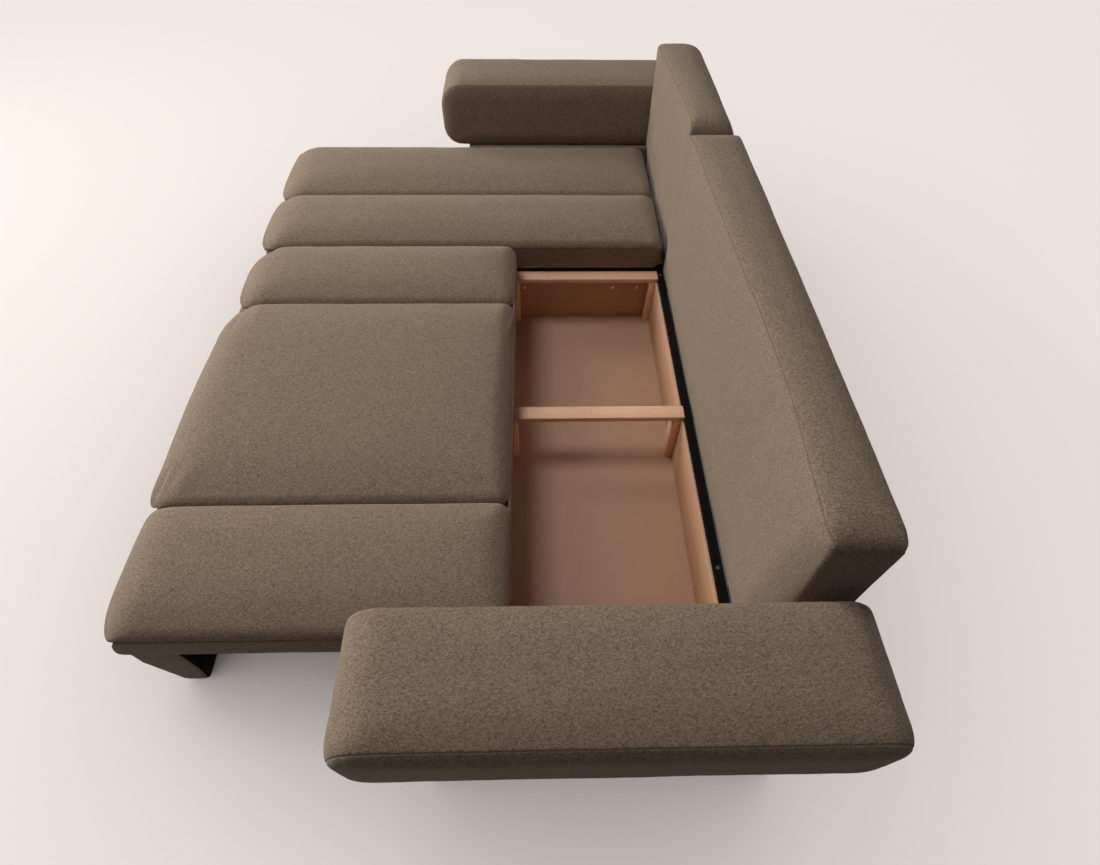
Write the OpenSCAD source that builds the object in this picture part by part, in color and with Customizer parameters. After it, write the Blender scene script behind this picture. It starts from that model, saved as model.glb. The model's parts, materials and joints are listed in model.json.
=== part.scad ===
// Corner storage sofa. The main seat is carried on swinging links, so it lifts,
// moves forward and sets down again in front of an open storage box.
// X runs along the backs, -Y is the front, Z is up, and the floor is at zero.

/* [Overall] */
// Length over both arms
overall_w = 2940; // [2700:10:3200]
// Depth from the seat fronts to the rear of the backs
overall_d = 1826; // [1780:2:1900]
// Height of the crown of the backs
overall_h = 884; // [840:2:920]

/* [Seat] */
// Gap between the main seat and the near arm's inner face
seat_arm_gap = 23; // [20:1:33]
// Length of the main seat along the backs
seat_w = 1562; // [1500:2:1562]
// Gap between the seat pads and the backs, with the main seat closed
seat_back_gap = 7.5; // [6:0.5:10]
// Width of the seat pad beside the near arm
near_pad_w = 383; // [340:1:420]
// Width of the seat pad beside the chaise
far_pad_w = 337; // [300:1:380]
// Height of the seams between the pads
seam_z = 430; // [415:1:440]
// Height of the lower edge of the seat's cover
skirt_z = 315; // [310:1:325]
// Height that the middle of a pad stands above its seams
pad_crown = 20; // [5:1:30]
// Rounding of a pad's outer top edge
pad_edge = 52; // [30:1:54]
// Rounding of a pad beside its seam
seam_edge = 15; // [6:1:20]
// Distance that the seat travels from open to closed
seat_travel = 600; // [560:5:600]

/* [Chaise] */
// Gap between the main seat and the chaise
chaise_gap = 6; // [4:0.5:12]
// Width of the chaise pad beside the main seat
inner_pad_w = 351; // [320:1:390]
// Gap between the chaise and the far arm
chaise_arm_gap = 8; // [4:1:20]

/* [Arms] */
// Width of an arm
arm_w = 302; // [260:1:304]
// Height of the crown of an arm
arm_top = 706; // [660:1:740]
// Height of the underside of an arm
arm_under = 430; // [428:1:450]
// Length of an arm
arm_len = 1125; // [1050:5:1125]
// Distance of an arm's rear from the rear of the backs
arm_setback = 5; // [2:1:20]
// Rounding of the arm's long edges
arm_edge = 45; // [25:1:60]
// Crown of the arm's top
arm_crown = 10; // [4:1:16]
// Set-in of the arm's base from its outer face
arm_base_inset = 70; // [40:1:100]

/* [Backs] */
// Distance that the long back runs on past the main seat, behind the chaise
main_back_over = 41; // [0:1:42]
// Thickness of a back pad at its foot
back_pad_t = 125; // [110:1:125]
// Distance that the top of the front face leans to the rear
back_lean = 34; // [10:1:50]
// Height of the foot of the back pads
back_foot_z = 300; // [290:1:310]
// Crown of the backs' top
back_crown = 12; // [4:1:20]
// Rounding of the backs' top edges
back_edge = 26; // [12:1:30]
// Gap between the two backs
back_gap = 3; // [1:0.5:6]

/* [Storage box] */
// Height of the top of the box's rails
rail_top = 289; // [275:1:289]
// Width of a rail
rail_w = 52; // [40:1:60]
// Thickness of the rails and their posts
rail_t = 20; // [15:0.5:25]
// Front-to-back size of a post
post_t = 26; // [20:1:32]
// Set-in of the box's near end from the main seat's near edge
box_near_in = 56; // [40:1:60]
// Distance that the box's far end lies under the chaise
box_far_over = 10; // [2:0.5:12]
// Front-to-back size of a rail, from the front posts to the rear wall's outer face
rail_len = 600; // [580:1:600]
// Thickness of the box's rear wall
rear_wall_t = 9; // [6:0.5:12]
// Thickness of the box's front wall and the end panels
panel_t = 18; // [12:0.5:20]
// Thickness of the box's floor board
floor_t = 10; // [6:0.5:12]
// Height of the upper face of the box's floor
floor_z = 60; // [56:1:70]
// Thickness of the dark beam between the box and the backs
beam_t = 26; // [20:1:26]
// Height of the dark beam
beam_h = 60; // [40:1:80]

/* [Mechanism] */
// Distance between the links' planes, near side to far side
link_span = 1120; // [1000:5:1150]
// Height of the lower pivots
low_pivot_z = 120; // [118:1:124]
// Height of the upper pivots at rest
high_pivot_z = 285; // [280:1:286]
// Distance from the rear lower pivot to the box's front wall
pivot_setback = 42; // [38:1:50]
// Distance between a side's front and rear pivots
pivot_pitch = 130; // [118:1:134]
// Width of a link's bar
link_w = 40; // [30:1:42]
// Thickness of a link's bar
link_t = 8; // [5:0.5:9]
// Radius of a pivot pin
pin_r = 6; // [4:0.5:8]
// Radius of the shaft that joins the rear links
shaft_r = 10; // [8:0.5:12]
// Radial clearance of a turning pivot
pivot_play = 0.05; // [0.02:0.01:0.1]
// Radial clearance of the front links' upper pivots
free_play = 0.5; // [0.3:0.1:1]
// Thickness of the steel plates and brackets
plate_t = 4; // [3:0.5:5]

/* [Base] */
// Height of the floor glides
glide_h = 30; // [25:1:34]
// Radius of a glide
glide_r = 24; // [15:1:28]
// Thickness of the carcass boards
board_t = 16; // [12:0.5:20]
// Height of the frame rails under the pads
frame_h = 55; // [50:1:56]
// Thickness of the frame rails
frame_t = 28; // [20:1:34]
// Thickness of the padded border round a seat frame
border_t = 12; // [8:1:14]

/* [Front plinths] */
// Depth of a plinth where it stands on the floor
plinth_foot_d = 50; // [40:1:60]
// Set-back of the plinth's foot from the seat front
plinth_foot_in = 58; // [45:1:70]
// Depth of a plinth under the seat frame
plinth_head_d = 163; // [150:1:165]
// Height at which the front face starts to slope back
plinth_break_z = 205; // [180:1:230]
// Height of the pads under a plinth
plinth_glide_h = 4; // [3:0.5:6]

/* [Hidden] */

// Fineness of round parts, overrun of cuts, and clearances
$fn = 32;
cut = 1;
touch = 0.3;
soft_gap = 0.6;

// Main planes
x_near = overall_w / 2;
y_front = -overall_d / 2;
y_rear = overall_d / 2;
arm_inner = x_near - arm_w;

// Backs, from the rear forward
cover_t = 23;
upright_t = 20;
back_rail_t = 20;
y_cover = y_rear - cover_t;
y_upright = y_cover - upright_t;
y_back_rail = y_upright - back_rail_t;
y_back_face = y_back_rail - back_pad_t - touch;
seat_x1 = arm_inner - seat_arm_gap;
seat_x0 = seat_x1 - seat_w;
main_back_x1 = seat_x1;
main_back_x0 = seat_x0 - main_back_over;
chaise_back_x1 = main_back_x0 - back_gap;
chaise_back_x0 = -arm_inner + back_gap;
back_head_z = overall_h - back_crown;
back_floor_z = 60;
upright_w = 60;
cap_t = 30;
frame_head_z = back_head_z - cap_t - touch;

// Storage box
y_wall = y_back_face - beam_t;
y_wall_in = y_wall - rear_wall_t;
y_post = y_wall - rail_len;
y_box_front = y_post - soft_gap - panel_t;
box_x0 = seat_x0 - box_far_over;
box_x1 = seat_x1 - box_near_in;
box_mid = (box_x0 + box_x1) / 2;
rail_under = rail_top - rail_t;
runner_h = floor_z - floor_t - glide_h;
wall_head = rail_under - touch;

// Main seat at rest, drawn forward
seat_y1 = y_back_face - seat_back_gap - seat_travel;
pad_foot_z = skirt_z + frame_h + touch;
spring_t = 4;
spring_z = pad_foot_z;
pad_z = spring_z + spring_t + touch;

// Chaise
chaise_x1 = seat_x0 - chaise_gap;
chaise_x0 = -arm_inner + chaise_arm_gap;
chaise_y1 = y_back_face - seat_back_gap;
carcass_in = 27;
carcass_x1 = box_x0 - touch;
carcass_x0 = chaise_x0 + carcass_in;
carcass_y0 = y_front + plinth_head_d + touch;
carcass_y1 = y_back_face;
carcass_top = skirt_z - touch;

// Mechanism
half_travel = seat_travel / 2;
link_rise = high_pivot_z - low_pivot_z;
link_len = sqrt(half_travel * half_travel + link_rise * link_rise);
rear_pivot_y = y_box_front - pivot_setback;
front_pivot_y = rear_pivot_y - pivot_pitch;
plane_gap = 2;
rear_plane = plane_gap + link_t / 2;
plate_plane = plane_gap * 2 + link_t + plate_t / 2;
slot_w = 70;
slot_z = low_pivot_z - link_w / 2;
bay_front_y = front_pivot_y - link_w;
bay_front_h = 65;
plate_margin = 22;
flange_w = 24;
flange_plane = plate_plane + plate_t / 2 + flange_w / 2;
plate_head = low_pivot_z + plate_margin;
pin_over = 3;
pin_len = 2 * (plate_plane + plate_t / 2 + pin_over);

// Fasteners
screw_head_r = 5;
screw_head_h = 2.5;
screw_r = 2.2;
bolt_head_r = 7;
bolt_head_h = 4;
bolt_r = 3.5;
driver_r = 1.8;
driver_depth = 1.2;

// Colours
cloth = [0.44, 0.38, 0.31];
beech = [0.79, 0.64, 0.51];
ply = [0.72, 0.56, 0.42];
hardboard = [0.33, 0.21, 0.12];
softwood = [0.74, 0.62, 0.45];
black = [0.06, 0.055, 0.05];
steel = [0.55, 0.56, 0.58];
zinc = [0.75, 0.75, 0.74];
rubber = [0.1, 0.1, 0.1];

// Points of one rounded rectangle whose sides draw in between the corners
corner_steps = 3;
side_steps = 4;
function corner_arc(cx, cy, r, start) =
  [for (i = [0 : corner_steps]) let (a = start + 90 * i / corner_steps) [cx + r * cos(a), cy + r * sin(a)]];
function drawn_side(p, q, draw) =
  let (len = norm(q - p), n = [-(q[1] - p[1]), q[0] - p[0]] / len)
  [for (i = [1 : side_steps - 1]) let (t = i / side_steps) p + (q - p) * t + n * draw * sin(180 * t)];
function outline(x0, x1, y0, y1, r, draw) =
  let (a = corner_arc(x1 - r, y1 - r, r, 0), b = corner_arc(x0 + r, y1 - r, r, 90),
       c = corner_arc(x0 + r, y0 + r, r, 180), d = corner_arc(x1 - r, y0 + r, r, 270), e = corner_steps)
  concat(a, drawn_side(a[e], b[0], draw), b, drawn_side(b[e], c[0], draw),
         c, drawn_side(c[e], d[0], draw), d, drawn_side(d[e], a[0], draw));

// A stuffed block: box = [x0, x1, y0, y1, z0, z1], edges = rounding of the sides at
// low X, high X, low Y and high Y, foot = rounding of the lower edge, crown over z1,
// draw = how far the sides pull in, lean = how far the head of the low Y side leans back
arc_steps = 3;
crown_shares = [0.68, 0.34];
module cushion(box, edges, foot, corner, crown, draw, lean = 0) {
  high = max(edges);
  tall = box[5] - box[4];
  foot_rows = [for (i = [0 : arc_steps]) let (a = 90 * i / arc_steps)
    [foot * (1 - sin(a)) / high, box[4] + foot * (1 - cos(a))]];
  head_rows = [for (i = [0 : arc_steps]) let (a = 90 * i / arc_steps)
    [1 - cos(a), box[5] - high * (1 - sin(a))]];
  rows = concat(foot_rows, head_rows);
  cx = (box[0] + box[1]) / 2;
  cy = (box[2] + box[3] + lean) / 2;
  function leaned(p, z) = p[1] + lean * (z - box[4]) / tall * (box[3] - p[1]) / (box[3] - box[2]);
  function row(s) = outline(box[0] + s * edges[0], box[1] - s * edges[1], box[2] + s * edges[2],
                            box[3] - s * edges[3], max(corner - s * corner / 2, corner / 2), draw);
  rings = [for (r = rows) [for (p = row(r[0])) [p[0], leaned(p, r[1]), r[1]]]];
  brim = rings[len(rings) - 1];
  domes = [for (s = crown_shares) [for (p = brim)
    [cx + (p[0] - cx) * s, cy + (p[1] - cy) * s, box[5] + crown * (1 - s * s)]]];
  loops = concat(rings, domes);
  n = len(brim);
  last = len(loops) - 1;
  points = concat([for (l = loops) for (p = l) p], [[cx, cy, box[5] + crown], [cx, cy, box[4]]]);
  top = len(points) - 2;
  faces = concat(
    [for (k = [0 : last - 1]) for (i = [0 : n - 1]) let (j = (i + 1) % n)
      [k * n + i, (k + 1) * n + i, (k + 1) * n + j]],
    [for (k = [0 : last - 1]) for (i = [0 : n - 1]) let (j = (i + 1) % n)
      [k * n + i, (k + 1) * n + j, k * n + j]],
    [for (i = [0 : n - 1]) [last * n + i, top, last * n + (i + 1) % n]],
    [for (i = [0 : n - 1]) [(i + 1) % n, top + 1, i]]);
  polyhedron(points, faces);
}

// A board or block between two corners
module block(x0, x1, y0, y1, z0, z1) {
  translate([x0, y0, z0])
    cube([x1 - x0, y1 - y0, z1 - z0]);
}

// A rod along X about y, z
module rod(x0, x1, y, z, r) {
  translate([x0, y, z])
    rotate([0, 90, 0])
      cylinder(r = r, h = x1 - x0);
}

// A flat bar in a plane across X, from one pivot to the other, with round ends
module bar(x, y, z, far_y, far_z, bore_a, bore_b) {
  run = norm([far_y - y, far_z - z]);
  lift = atan2(far_z - z, far_y - y);
  translate([x - link_t / 2, y, z])
    rotate([lift, 0, 0])
      rotate([90, 0, 90])
        linear_extrude(link_t)
          difference() {
            union() {
              circle(r = link_w / 2, $fn = 48);
              translate([0, -link_w / 2])
                square([run, link_w]);
              translate([run, 0])
                circle(r = link_w / 2, $fn = 48);
            }
            if (bore_a > 0)
              circle(r = bore_a, $fn = 48);
            translate([run, 0])
              circle(r = bore_b, $fn = 48);
          }
}

// A screw or bolt with a round head, its axis along dir from the head's seat at p
module fastener(p, turn, head_r, head_h, shank_r, shank) {
  translate(p)
    rotate(turn)
      difference() {
        union() {
          cylinder(r = head_r, h = head_h);
          translate([0, 0, -shank])
            cylinder(r = shank_r, h = shank + cut);
        }
        translate([0, 0, head_h - driver_depth])
          cylinder(r = driver_r, h = driver_depth + cut, $fn = 6);
      }
}

// Both sides' link planes: the middle of each stack and the way its outer side faces
link_sides = [[box_mid + link_span / 2, 1], [box_mid - link_span / 2, -1]];
rear_top_y = rear_pivot_y - half_travel;
front_top_y = front_pivot_y - half_travel;

// Storage box

module box_floor() {
  color(hardboard)
    block(box_x0 + panel_t, box_x1 - panel_t, bay_front_y + board_t + touch, y_wall_in - touch,
          floor_z - floor_t, floor_z);
}

module base_runners() {
  runner_w = 45;
  floor_y0 = bay_front_y + board_t + touch;
  color(softwood)
    for (y = [floor_y0, (floor_y0 + y_wall_in - runner_w) / 2, y_wall_in - touch - runner_w])
      block(box_x0 + panel_t, box_x1 - panel_t, y, y + runner_w, glide_h, glide_h + runner_h);
}

module box_rear_wall() {
  color(ply)
    block(box_x0, box_x1, y_wall_in, y_wall, glide_h, wall_head);
}

module box_front_wall() {
  color(ply)
    difference() {
      block(box_x0 + panel_t + touch, box_x1 - panel_t - touch, y_box_front, y_box_front + panel_t,
            floor_z, wall_head);
      for (side = link_sides)
        block(side[0] - slot_w / 2, side[0] + slot_w / 2, y_box_front - cut, y_box_front + panel_t + cut,
              slot_z, wall_head + cut);
    }
}

module end_panel(x) {
  color(hardboard)
    block(x, x + panel_t, bay_front_y + board_t + touch, y_wall_in - touch, glide_h, wall_head);
}

module far_end_panel() {
  end_panel(box_x0);
}

module near_end_panel() {
  end_panel(box_x1 - panel_t);
}

// A rail on two posts, shaped like a door frame
module rail_frame(x, post_x0, post_x1) {
  color(beech) {
    block(x, x + rail_w, y_post, y_wall, rail_under, rail_top);
    for (y = [y_post, y_wall_in - touch - post_t])
      block(post_x0, post_x1, y, y + post_t, floor_z, rail_under - touch);
  }
}

module far_frame() {
  rail_frame(box_x0, box_x0 + panel_t + touch, box_x0 + rail_w);
}

module divider_frame() {
  rail_frame(box_mid - rail_w / 2, box_mid - rail_w / 2, box_mid + rail_w / 2);
}

module near_frame() {
  rail_frame(box_x1 - rail_w, box_x1 - rail_w, box_x1 - panel_t - touch);
}

// Three screws hold each end panel to the carcass beside it
screw_shares = [0.075, 0.7, 0.87];
module end_panel_screws() {
  screw_z = rail_under - rail_w;
  screw_len = panel_t + board_t - cut;
  color(zinc)
    for (t = screw_shares) {
      fastener([box_x0 + panel_t, y_post + rail_len * t, screw_z], [0, 90, 0],
               screw_head_r, screw_head_h, screw_r, screw_len);
      fastener([box_x1 - panel_t, y_post + rail_len * t, screw_z], [0, -90, 0],
               screw_head_r, screw_head_h, screw_r, screw_len);
    }
}

beam_screw_shares = [0.017, 0.883];
beam_screw_xs = [for (t = beam_screw_shares) box_x0 + (box_x1 - box_x0) * t];
beam_mid_y = (y_wall + y_back_face) / 2;
module back_beam() {
  color(black)
    difference() {
      block(box_x0, box_x1, y_wall + touch, y_back_face - touch, rail_top - beam_h, rail_top - touch);
      for (x = beam_screw_xs)
        translate([x, beam_mid_y, rail_top - beam_h / 2 - touch])
          cylinder(r = screw_r + pivot_play, h = beam_h);
    }
}

module beam_screws() {
  color(zinc)
    for (x = beam_screw_xs)
      fastener([x, beam_mid_y, rail_top - touch], [0, 0, 0],
               screw_head_r, screw_head_h, screw_r, beam_h / 2);
}

module bay_front_board() {
  color(black)
    block(box_x0 + panel_t, box_x1 - panel_t, bay_front_y, bay_front_y + board_t,
          glide_h, glide_h + bay_front_h);
}

// Two steel plates stand on the floor board at each side, with the links between them
plate_y0 = front_pivot_y - plate_margin;
plate_y1 = rear_pivot_y + plate_margin;
module link_plates() {
  color(steel)
    for (side = link_sides)
      for (k = [-1, 1]) {
        x = side[0] + k * plate_plane;
        outer = x + k * plate_t / 2;
        difference() {
          union() {
            block(x - plate_t / 2, x + plate_t / 2, plate_y0, plate_y1, floor_z, plate_head);
            block(min(x, outer + k * flange_w), max(x, outer + k * flange_w), plate_y0, plate_y1,
                  floor_z, floor_z + plate_t);
          }
          rod(x - plate_t, x + plate_t, rear_pivot_y, low_pivot_z, shaft_r + pivot_play);
          rod(x - plate_t, x + plate_t, front_pivot_y, low_pivot_z, pin_r + pivot_play);
          for (y = [plate_y0 + flange_w, plate_y1 - flange_w])
            translate([outer + k * flange_w / 2, y, floor_z - cut])
              cylinder(r = bolt_r + touch, h = plate_t + 2 * cut);
        }
      }
}

module link_plate_bolts() {
  color(zinc)
    for (side = link_sides)
      for (k = [-1, 1])
        for (y = [plate_y0 + flange_w, plate_y1 - flange_w])
          fastener([side[0] + k * flange_plane, y, floor_z + plate_t], [0, 0, 0],
                   bolt_head_r, bolt_head_h, bolt_r, plate_t);
}

module lower_pivot_pins() {
  color(zinc)
    for (side = link_sides)
      rod(side[0] - pin_len / 2, side[0] + pin_len / 2, front_pivot_y, low_pivot_z, pin_r);
}

// Rubber stops on the front board, under the front links
module link_buffers() {
  buffer_r = 9;
  y = bay_front_y + board_t / 2;
  link_under = low_pivot_z + (front_pivot_y - y - buffer_r) * link_rise / half_travel
               - link_w / 2 * link_len / half_travel;
  color(rubber)
    for (side = link_sides)
      translate([side[0] + side[1] * rear_plane, y, glide_h + bay_front_h])
        cylinder(r = buffer_r, h = link_under - touch - glide_h - bay_front_h);
}

module glides(xs, ys, h, r) {
  color(rubber)
    for (x = xs)
      for (y = ys)
        translate([x, y, 0])
          cylinder(r = r, h = h);
}

module box_glides() {
  glides([box_x0 + 2 * rail_w, box_mid, box_x1 - 2 * rail_w], [bay_front_y + rail_w, y_wall_in - glide_r],
         glide_h, glide_r);
}

// Chaise

module chaise_side_boards() {
  color(black) {
    block(carcass_x1 - board_t, carcass_x1, carcass_y0, carcass_y1, glide_h, carcass_top);
    block(carcass_x0, carcass_x0 + board_t, carcass_y0, carcass_y1, glide_h, carcass_top);
  }
}

module chaise_cross_boards() {
  color(softwood)
    for (y = [carcass_y0, (carcass_y0 + carcass_y1) / 2, carcass_y1 - board_t])
      block(carcass_x0 + board_t + touch, carcass_x1 - board_t - touch, y, y + board_t, glide_h, carcass_top);
}

// Rails under the pads: two long ones and the cross rails between them
module pad_side_rails(x0, x1, y0, y1) {
  color(softwood)
    for (x = [x0, x1 - frame_t])
      block(x, x + frame_t, y0, y1, skirt_z, skirt_z + frame_h);
}

module pad_cross_rails(x0, x1, y0, y1, count) {
  color(softwood)
    for (i = [0 : count - 1]) {
      y = y0 + (y1 - y0 - frame_t) * i / (count - 1);
      block(x0 + frame_t + touch, x1 - frame_t - touch, y, y + frame_t, skirt_z, skirt_z + frame_h);
    }
}

// Flat zigzag springs from the front rail to the rear rail
wave_pitch = 90;
module springs(x0, x1, y0, y1, count) {
  wire = spring_t;
  swing = 24;
  waves = floor((y1 - y0) / wave_pitch);
  step = (y1 - y0 - wire) / (2 * waves);
  color(steel)
    for (i = [1 : count]) {
      x = x0 + (x1 - x0) * i / (count + 1);
      turns = [for (k = [0 : 2 * waves]) [x + (k % 2 == 0 ? -swing : swing), y0 + wire / 2 + k * step]];
      left = [for (p = turns) [p[0] - wire / 2, p[1]]];
      right = [for (k = [2 * waves : -1 : 0]) [turns[k][0] + wire / 2, turns[k][1]]];
      translate([0, 0, spring_z])
        linear_extrude(spring_t)
          polygon(concat(left, right));
    }
}

// Padded strips round the sides and the rear of a seat frame
module border(x0, x1, y0, y1, foot_z) {
  color(cloth) {
    block(x0, x0 + border_t, y0, y1, skirt_z, foot_z);
    block(x1 - border_t, x1, y0, y1, skirt_z, foot_z);
    block(x0 + border_t + touch, x1 - border_t - touch, y1 - border_t, y1, skirt_z, foot_z);
  }
}

// A padded front plinth that slopes back to the floor and closes the front of the frame
plinth_head_in = 20;
module plinth(x0, x1, foot_z) {
  head_in = plinth_head_in;
  strip = frame_t;
  rear_z = plinth_break_z - head_in;
  toe = plinth_foot_in + plinth_foot_d;
  points = [
    [y_front + head_in / 2, foot_z],
    [y_front, plinth_break_z + head_in],
    [y_front + head_in / 4, plinth_break_z],
    [y_front + plinth_foot_in, plinth_glide_h],
    [y_front + toe, plinth_glide_h],
    [y_front + plinth_head_d, rear_z],
    [y_front + plinth_head_d, skirt_z - touch],
    [y_front + head_in + strip, skirt_z - touch],
    [y_front + head_in + strip, foot_z]
  ];
  color(cloth)
    translate([x0, 0, 0])
      rotate([90, 0, 90])
        linear_extrude(x1 - x0)
          polygon(points);
}

frame_x0 = chaise_x0 + border_t + touch;
frame_x1 = chaise_x1 - border_t - touch;
plinth_back = y_front + plinth_head_in + frame_t;
frame_y0 = plinth_back + touch;

module chaise_frame() {
  frame_y1 = chaise_y1 - border_t - touch;
  pad_side_rails(frame_x0, frame_x1, frame_y0, frame_y1);
  pad_cross_rails(frame_x0, frame_x1, frame_y0, frame_y1, 5);
}

module chaise_springs() {
  springs(frame_x0, frame_x1, frame_y0, chaise_y1 - border_t - touch, 5);
}

module chaise_border() {
  border(chaise_x0, chaise_x1, frame_y0, chaise_y1, pad_foot_z);
}

pad_corner = 46;
pad_draw = 4;
pad_foot = 10;
chaise_seam_x = chaise_x1 - inner_pad_w;

module chaise_inner_pad() {
  color(cloth)
    cushion([chaise_seam_x + touch, chaise_x1, y_front, chaise_y1, pad_z, seam_z],
            [seam_edge, pad_edge / 2, pad_edge, pad_edge / 2], pad_foot, pad_corner, pad_crown, pad_draw / 2);
}

module chaise_outer_pad() {
  color(cloth)
    cushion([chaise_x0, chaise_seam_x - touch, y_front, chaise_y1, pad_z, seam_z],
            [pad_edge, seam_edge, pad_edge, pad_edge / 2], pad_foot, pad_corner, pad_crown, pad_draw / 2);
}

plinth_in = 10;
plinth_glide_r = 18;
module chaise_plinth() {
  plinth(chaise_x0 + plinth_in, chaise_x1 - plinth_in, pad_foot_z);
}

module plinth_pads(x0, x1) {
  inset = 2 * rail_w;
  glides([x0 + inset, (x0 + x1) / 2, x1 - inset], [y_front + plinth_foot_in + plinth_foot_d / 2],
         plinth_glide_h, plinth_glide_r);
}

module chaise_glides() {
  glides([carcass_x0 + glide_r, carcass_x1 - glide_r], [(carcass_y0 + carcass_y1) / 2, carcass_y1 - glide_r],
         glide_h, glide_r);
  plinth_pads(chaise_x0, chaise_x1);
}

// Arms: a set-in base and a riser carry the padded arm

arm_y1 = y_rear - arm_setback;
arm_y0 = arm_y1 - arm_len;
arm_base_y0 = bay_front_y + board_t;
arm_base_y1 = arm_y1 - arm_base_inset;
arm_base_x1 = x_near - arm_base_inset;

// Boards round a closed box, each a solid of its own
module board_box(x0, x1, y0, y1, z0, z1) {
  block(x0, x0 + board_t, y0, y1, z0, z1);
  block(x1 - board_t, x1, y0, y1, z0, z1);
  for (y = [y0, y1 - board_t])
    block(x0 + board_t + touch, x1 - board_t - touch, y, y + board_t, z0, z1);
}

riser_z = back_foot_z - touch;
arm_corner = 60;
arm_draw = 4;
arm_foot = 27;
module arm_base(x0) {
  color(cloth)
    board_box(x0, arm_base_x1, arm_base_y0, arm_base_y1, glide_h, riser_z - board_t - touch);
  color(softwood)
    block(x0, arm_base_x1, arm_base_y0, arm_base_y1, riser_z - board_t, riser_z);
}

module arm_riser() {
  x0 = arm_inner + soft_gap;
  color(cloth)
    board_box(x0, arm_base_x1, arm_base_y0, arm_base_y1, riser_z + touch, arm_under - board_t - touch);
  color(softwood)
    block(x0, arm_base_x1, arm_base_y0, arm_base_y1, arm_under - board_t, arm_under - touch);
}

module arm_pad() {
  color(cloth)
    cushion([arm_inner, x_near, arm_y0, arm_y1, arm_under, arm_top - arm_crown],
            [arm_edge, arm_edge, arm_edge, arm_edge], arm_foot, arm_corner, arm_crown, arm_draw);
}

module near_arm_base() {
  arm_base(box_x1 + touch);
}

module near_arm_riser() {
  arm_riser();
}

module near_arm_pad() {
  arm_pad();
}

module far_arm_base() {
  mirror([1, 0, 0])
    arm_base(-carcass_x0 + touch);
}

module far_arm_riser() {
  mirror([1, 0, 0])
    arm_riser();
}

module far_arm_pad() {
  mirror([1, 0, 0])
    arm_pad();
}

arm_bolt_shares = [0.2, 0.8];
module arm_bolts() {
  color(zinc)
    for (s = [-1, 1])
      for (t = arm_bolt_shares)
        fastener([s * (arm_inner + arm_base_x1) / 2, arm_base_y0 + (arm_base_y1 - arm_base_y0) * t,
                  arm_under - board_t], [180, 0, 0], bolt_head_r, bolt_head_h, bolt_r, board_t - cut);
}

// Rubber glides under the arms' outer boards and under the backs' end uprights
upright_foot_r = 9;
module arm_and_back_glides() {
  ys = [arm_base_y0 + glide_r, arm_base_y1 - glide_r];
  glides([arm_base_x1 - glide_r, -arm_base_x1 + glide_r], ys, glide_h, glide_r);
  glides([main_back_x0 + border_t + upright_w / 2, main_back_x1 - border_t - upright_w / 2,
          chaise_back_x0 + border_t + upright_w / 2], [y_upright + upright_t / 2], glide_h, upright_foot_r);
}

// Backs: a wooden frame with a padded front and a cloth-covered rear

module back_pad(x0, x1) {
  color(cloth)
    cushion([x0, x1, y_back_face, y_back_rail - touch, back_foot_z, back_head_z],
            [back_edge, back_edge, back_edge, touch], pad_foot, back_edge, back_crown, pad_draw, back_lean);
}

module main_back_pad() {
  back_pad(main_back_x0, main_back_x1);
}

module chaise_back_pad() {
  back_pad(chaise_back_x0, chaise_back_x1);
}

module back_rails() {
  rail_h = 90;
  color(softwood)
    for (span = [[main_back_x0, main_back_x1], [chaise_back_x0, chaise_back_x1]])
      for (z = [back_floor_z, back_foot_z - rail_h, frame_head_z - rail_h])
        block(span[0] + border_t, span[1] - border_t, y_back_rail, y_upright - touch, z, z + rail_h);
}

main_upright_count = 4;
chaise_upright_count = 3;
module uprights(x0, x1, count) {
  color(softwood)
    for (i = [0 : count - 1])
      translate([(x1 - x0 - upright_w) * i / (count - 1), 0, 0])
        block(x0, x0 + upright_w, y_upright, y_cover - touch, glide_h, frame_head_z);
}

module back_uprights() {
  uprights(main_back_x0 + border_t, main_back_x1 - border_t, main_upright_count);
  uprights(chaise_back_x0 + border_t, chaise_back_x1 - border_t, chaise_upright_count);
}

// Rear cloth panel with a padded cap that closes the top of the frame
cap_steps = 5;
module back_cover(x0, x1) {
  shoulder = [for (i = [0 : cap_steps]) let (a = 90 * i / cap_steps)
    [y_rear - back_edge * (1 - cos(a)), back_head_z - back_edge * (1 - sin(a))]];
  color(cloth)
    translate([x0, 0, 0])
      rotate([90, 0, 90])
        linear_extrude(x1 - x0)
          polygon(concat([[y_cover, back_floor_z], [y_rear, back_floor_z]], shoulder,
                         [[y_back_rail, back_head_z], [y_back_rail, back_head_z - cap_t],
                          [y_cover, back_head_z - cap_t]]));
}

module main_back_cover() {
  back_cover(main_back_x0, main_back_x1);
}

module chaise_back_cover() {
  back_cover(chaise_back_x0, chaise_back_x1);
}

// Steel angles tie the beam and the chaise's rear board to the back frame
bracket_h = 60;
bracket_w = 60;
bracket_xs = [box_x0 + bracket_w, box_mid - bracket_w / 2, box_x1 - 2 * bracket_w,
              carcass_x0 + bracket_w, carcass_x1 - 2 * bracket_w];
bracket_z = rail_top - beam_h;
module back_brackets() {
  color(steel)
    for (x = bracket_xs)
      difference() {
        union() {
          block(x, x + plate_t, y_back_face + touch, y_back_rail - touch, bracket_z, bracket_z + bracket_h);
          block(x, x + bracket_w, y_back_face, y_back_face + plate_t, bracket_z, bracket_z + bracket_h);
          block(x, x + bracket_w, y_back_rail - touch - plate_t, y_back_rail - touch, bracket_z,
                bracket_z + bracket_h);
        }
        translate([x + bracket_w / 2, y_back_face - cut, bracket_z + bracket_h / 2])
          rotate([-90, 0, 0])
            cylinder(r = bolt_r + touch, h = plate_t + 2 * cut);
      }
}

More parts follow.
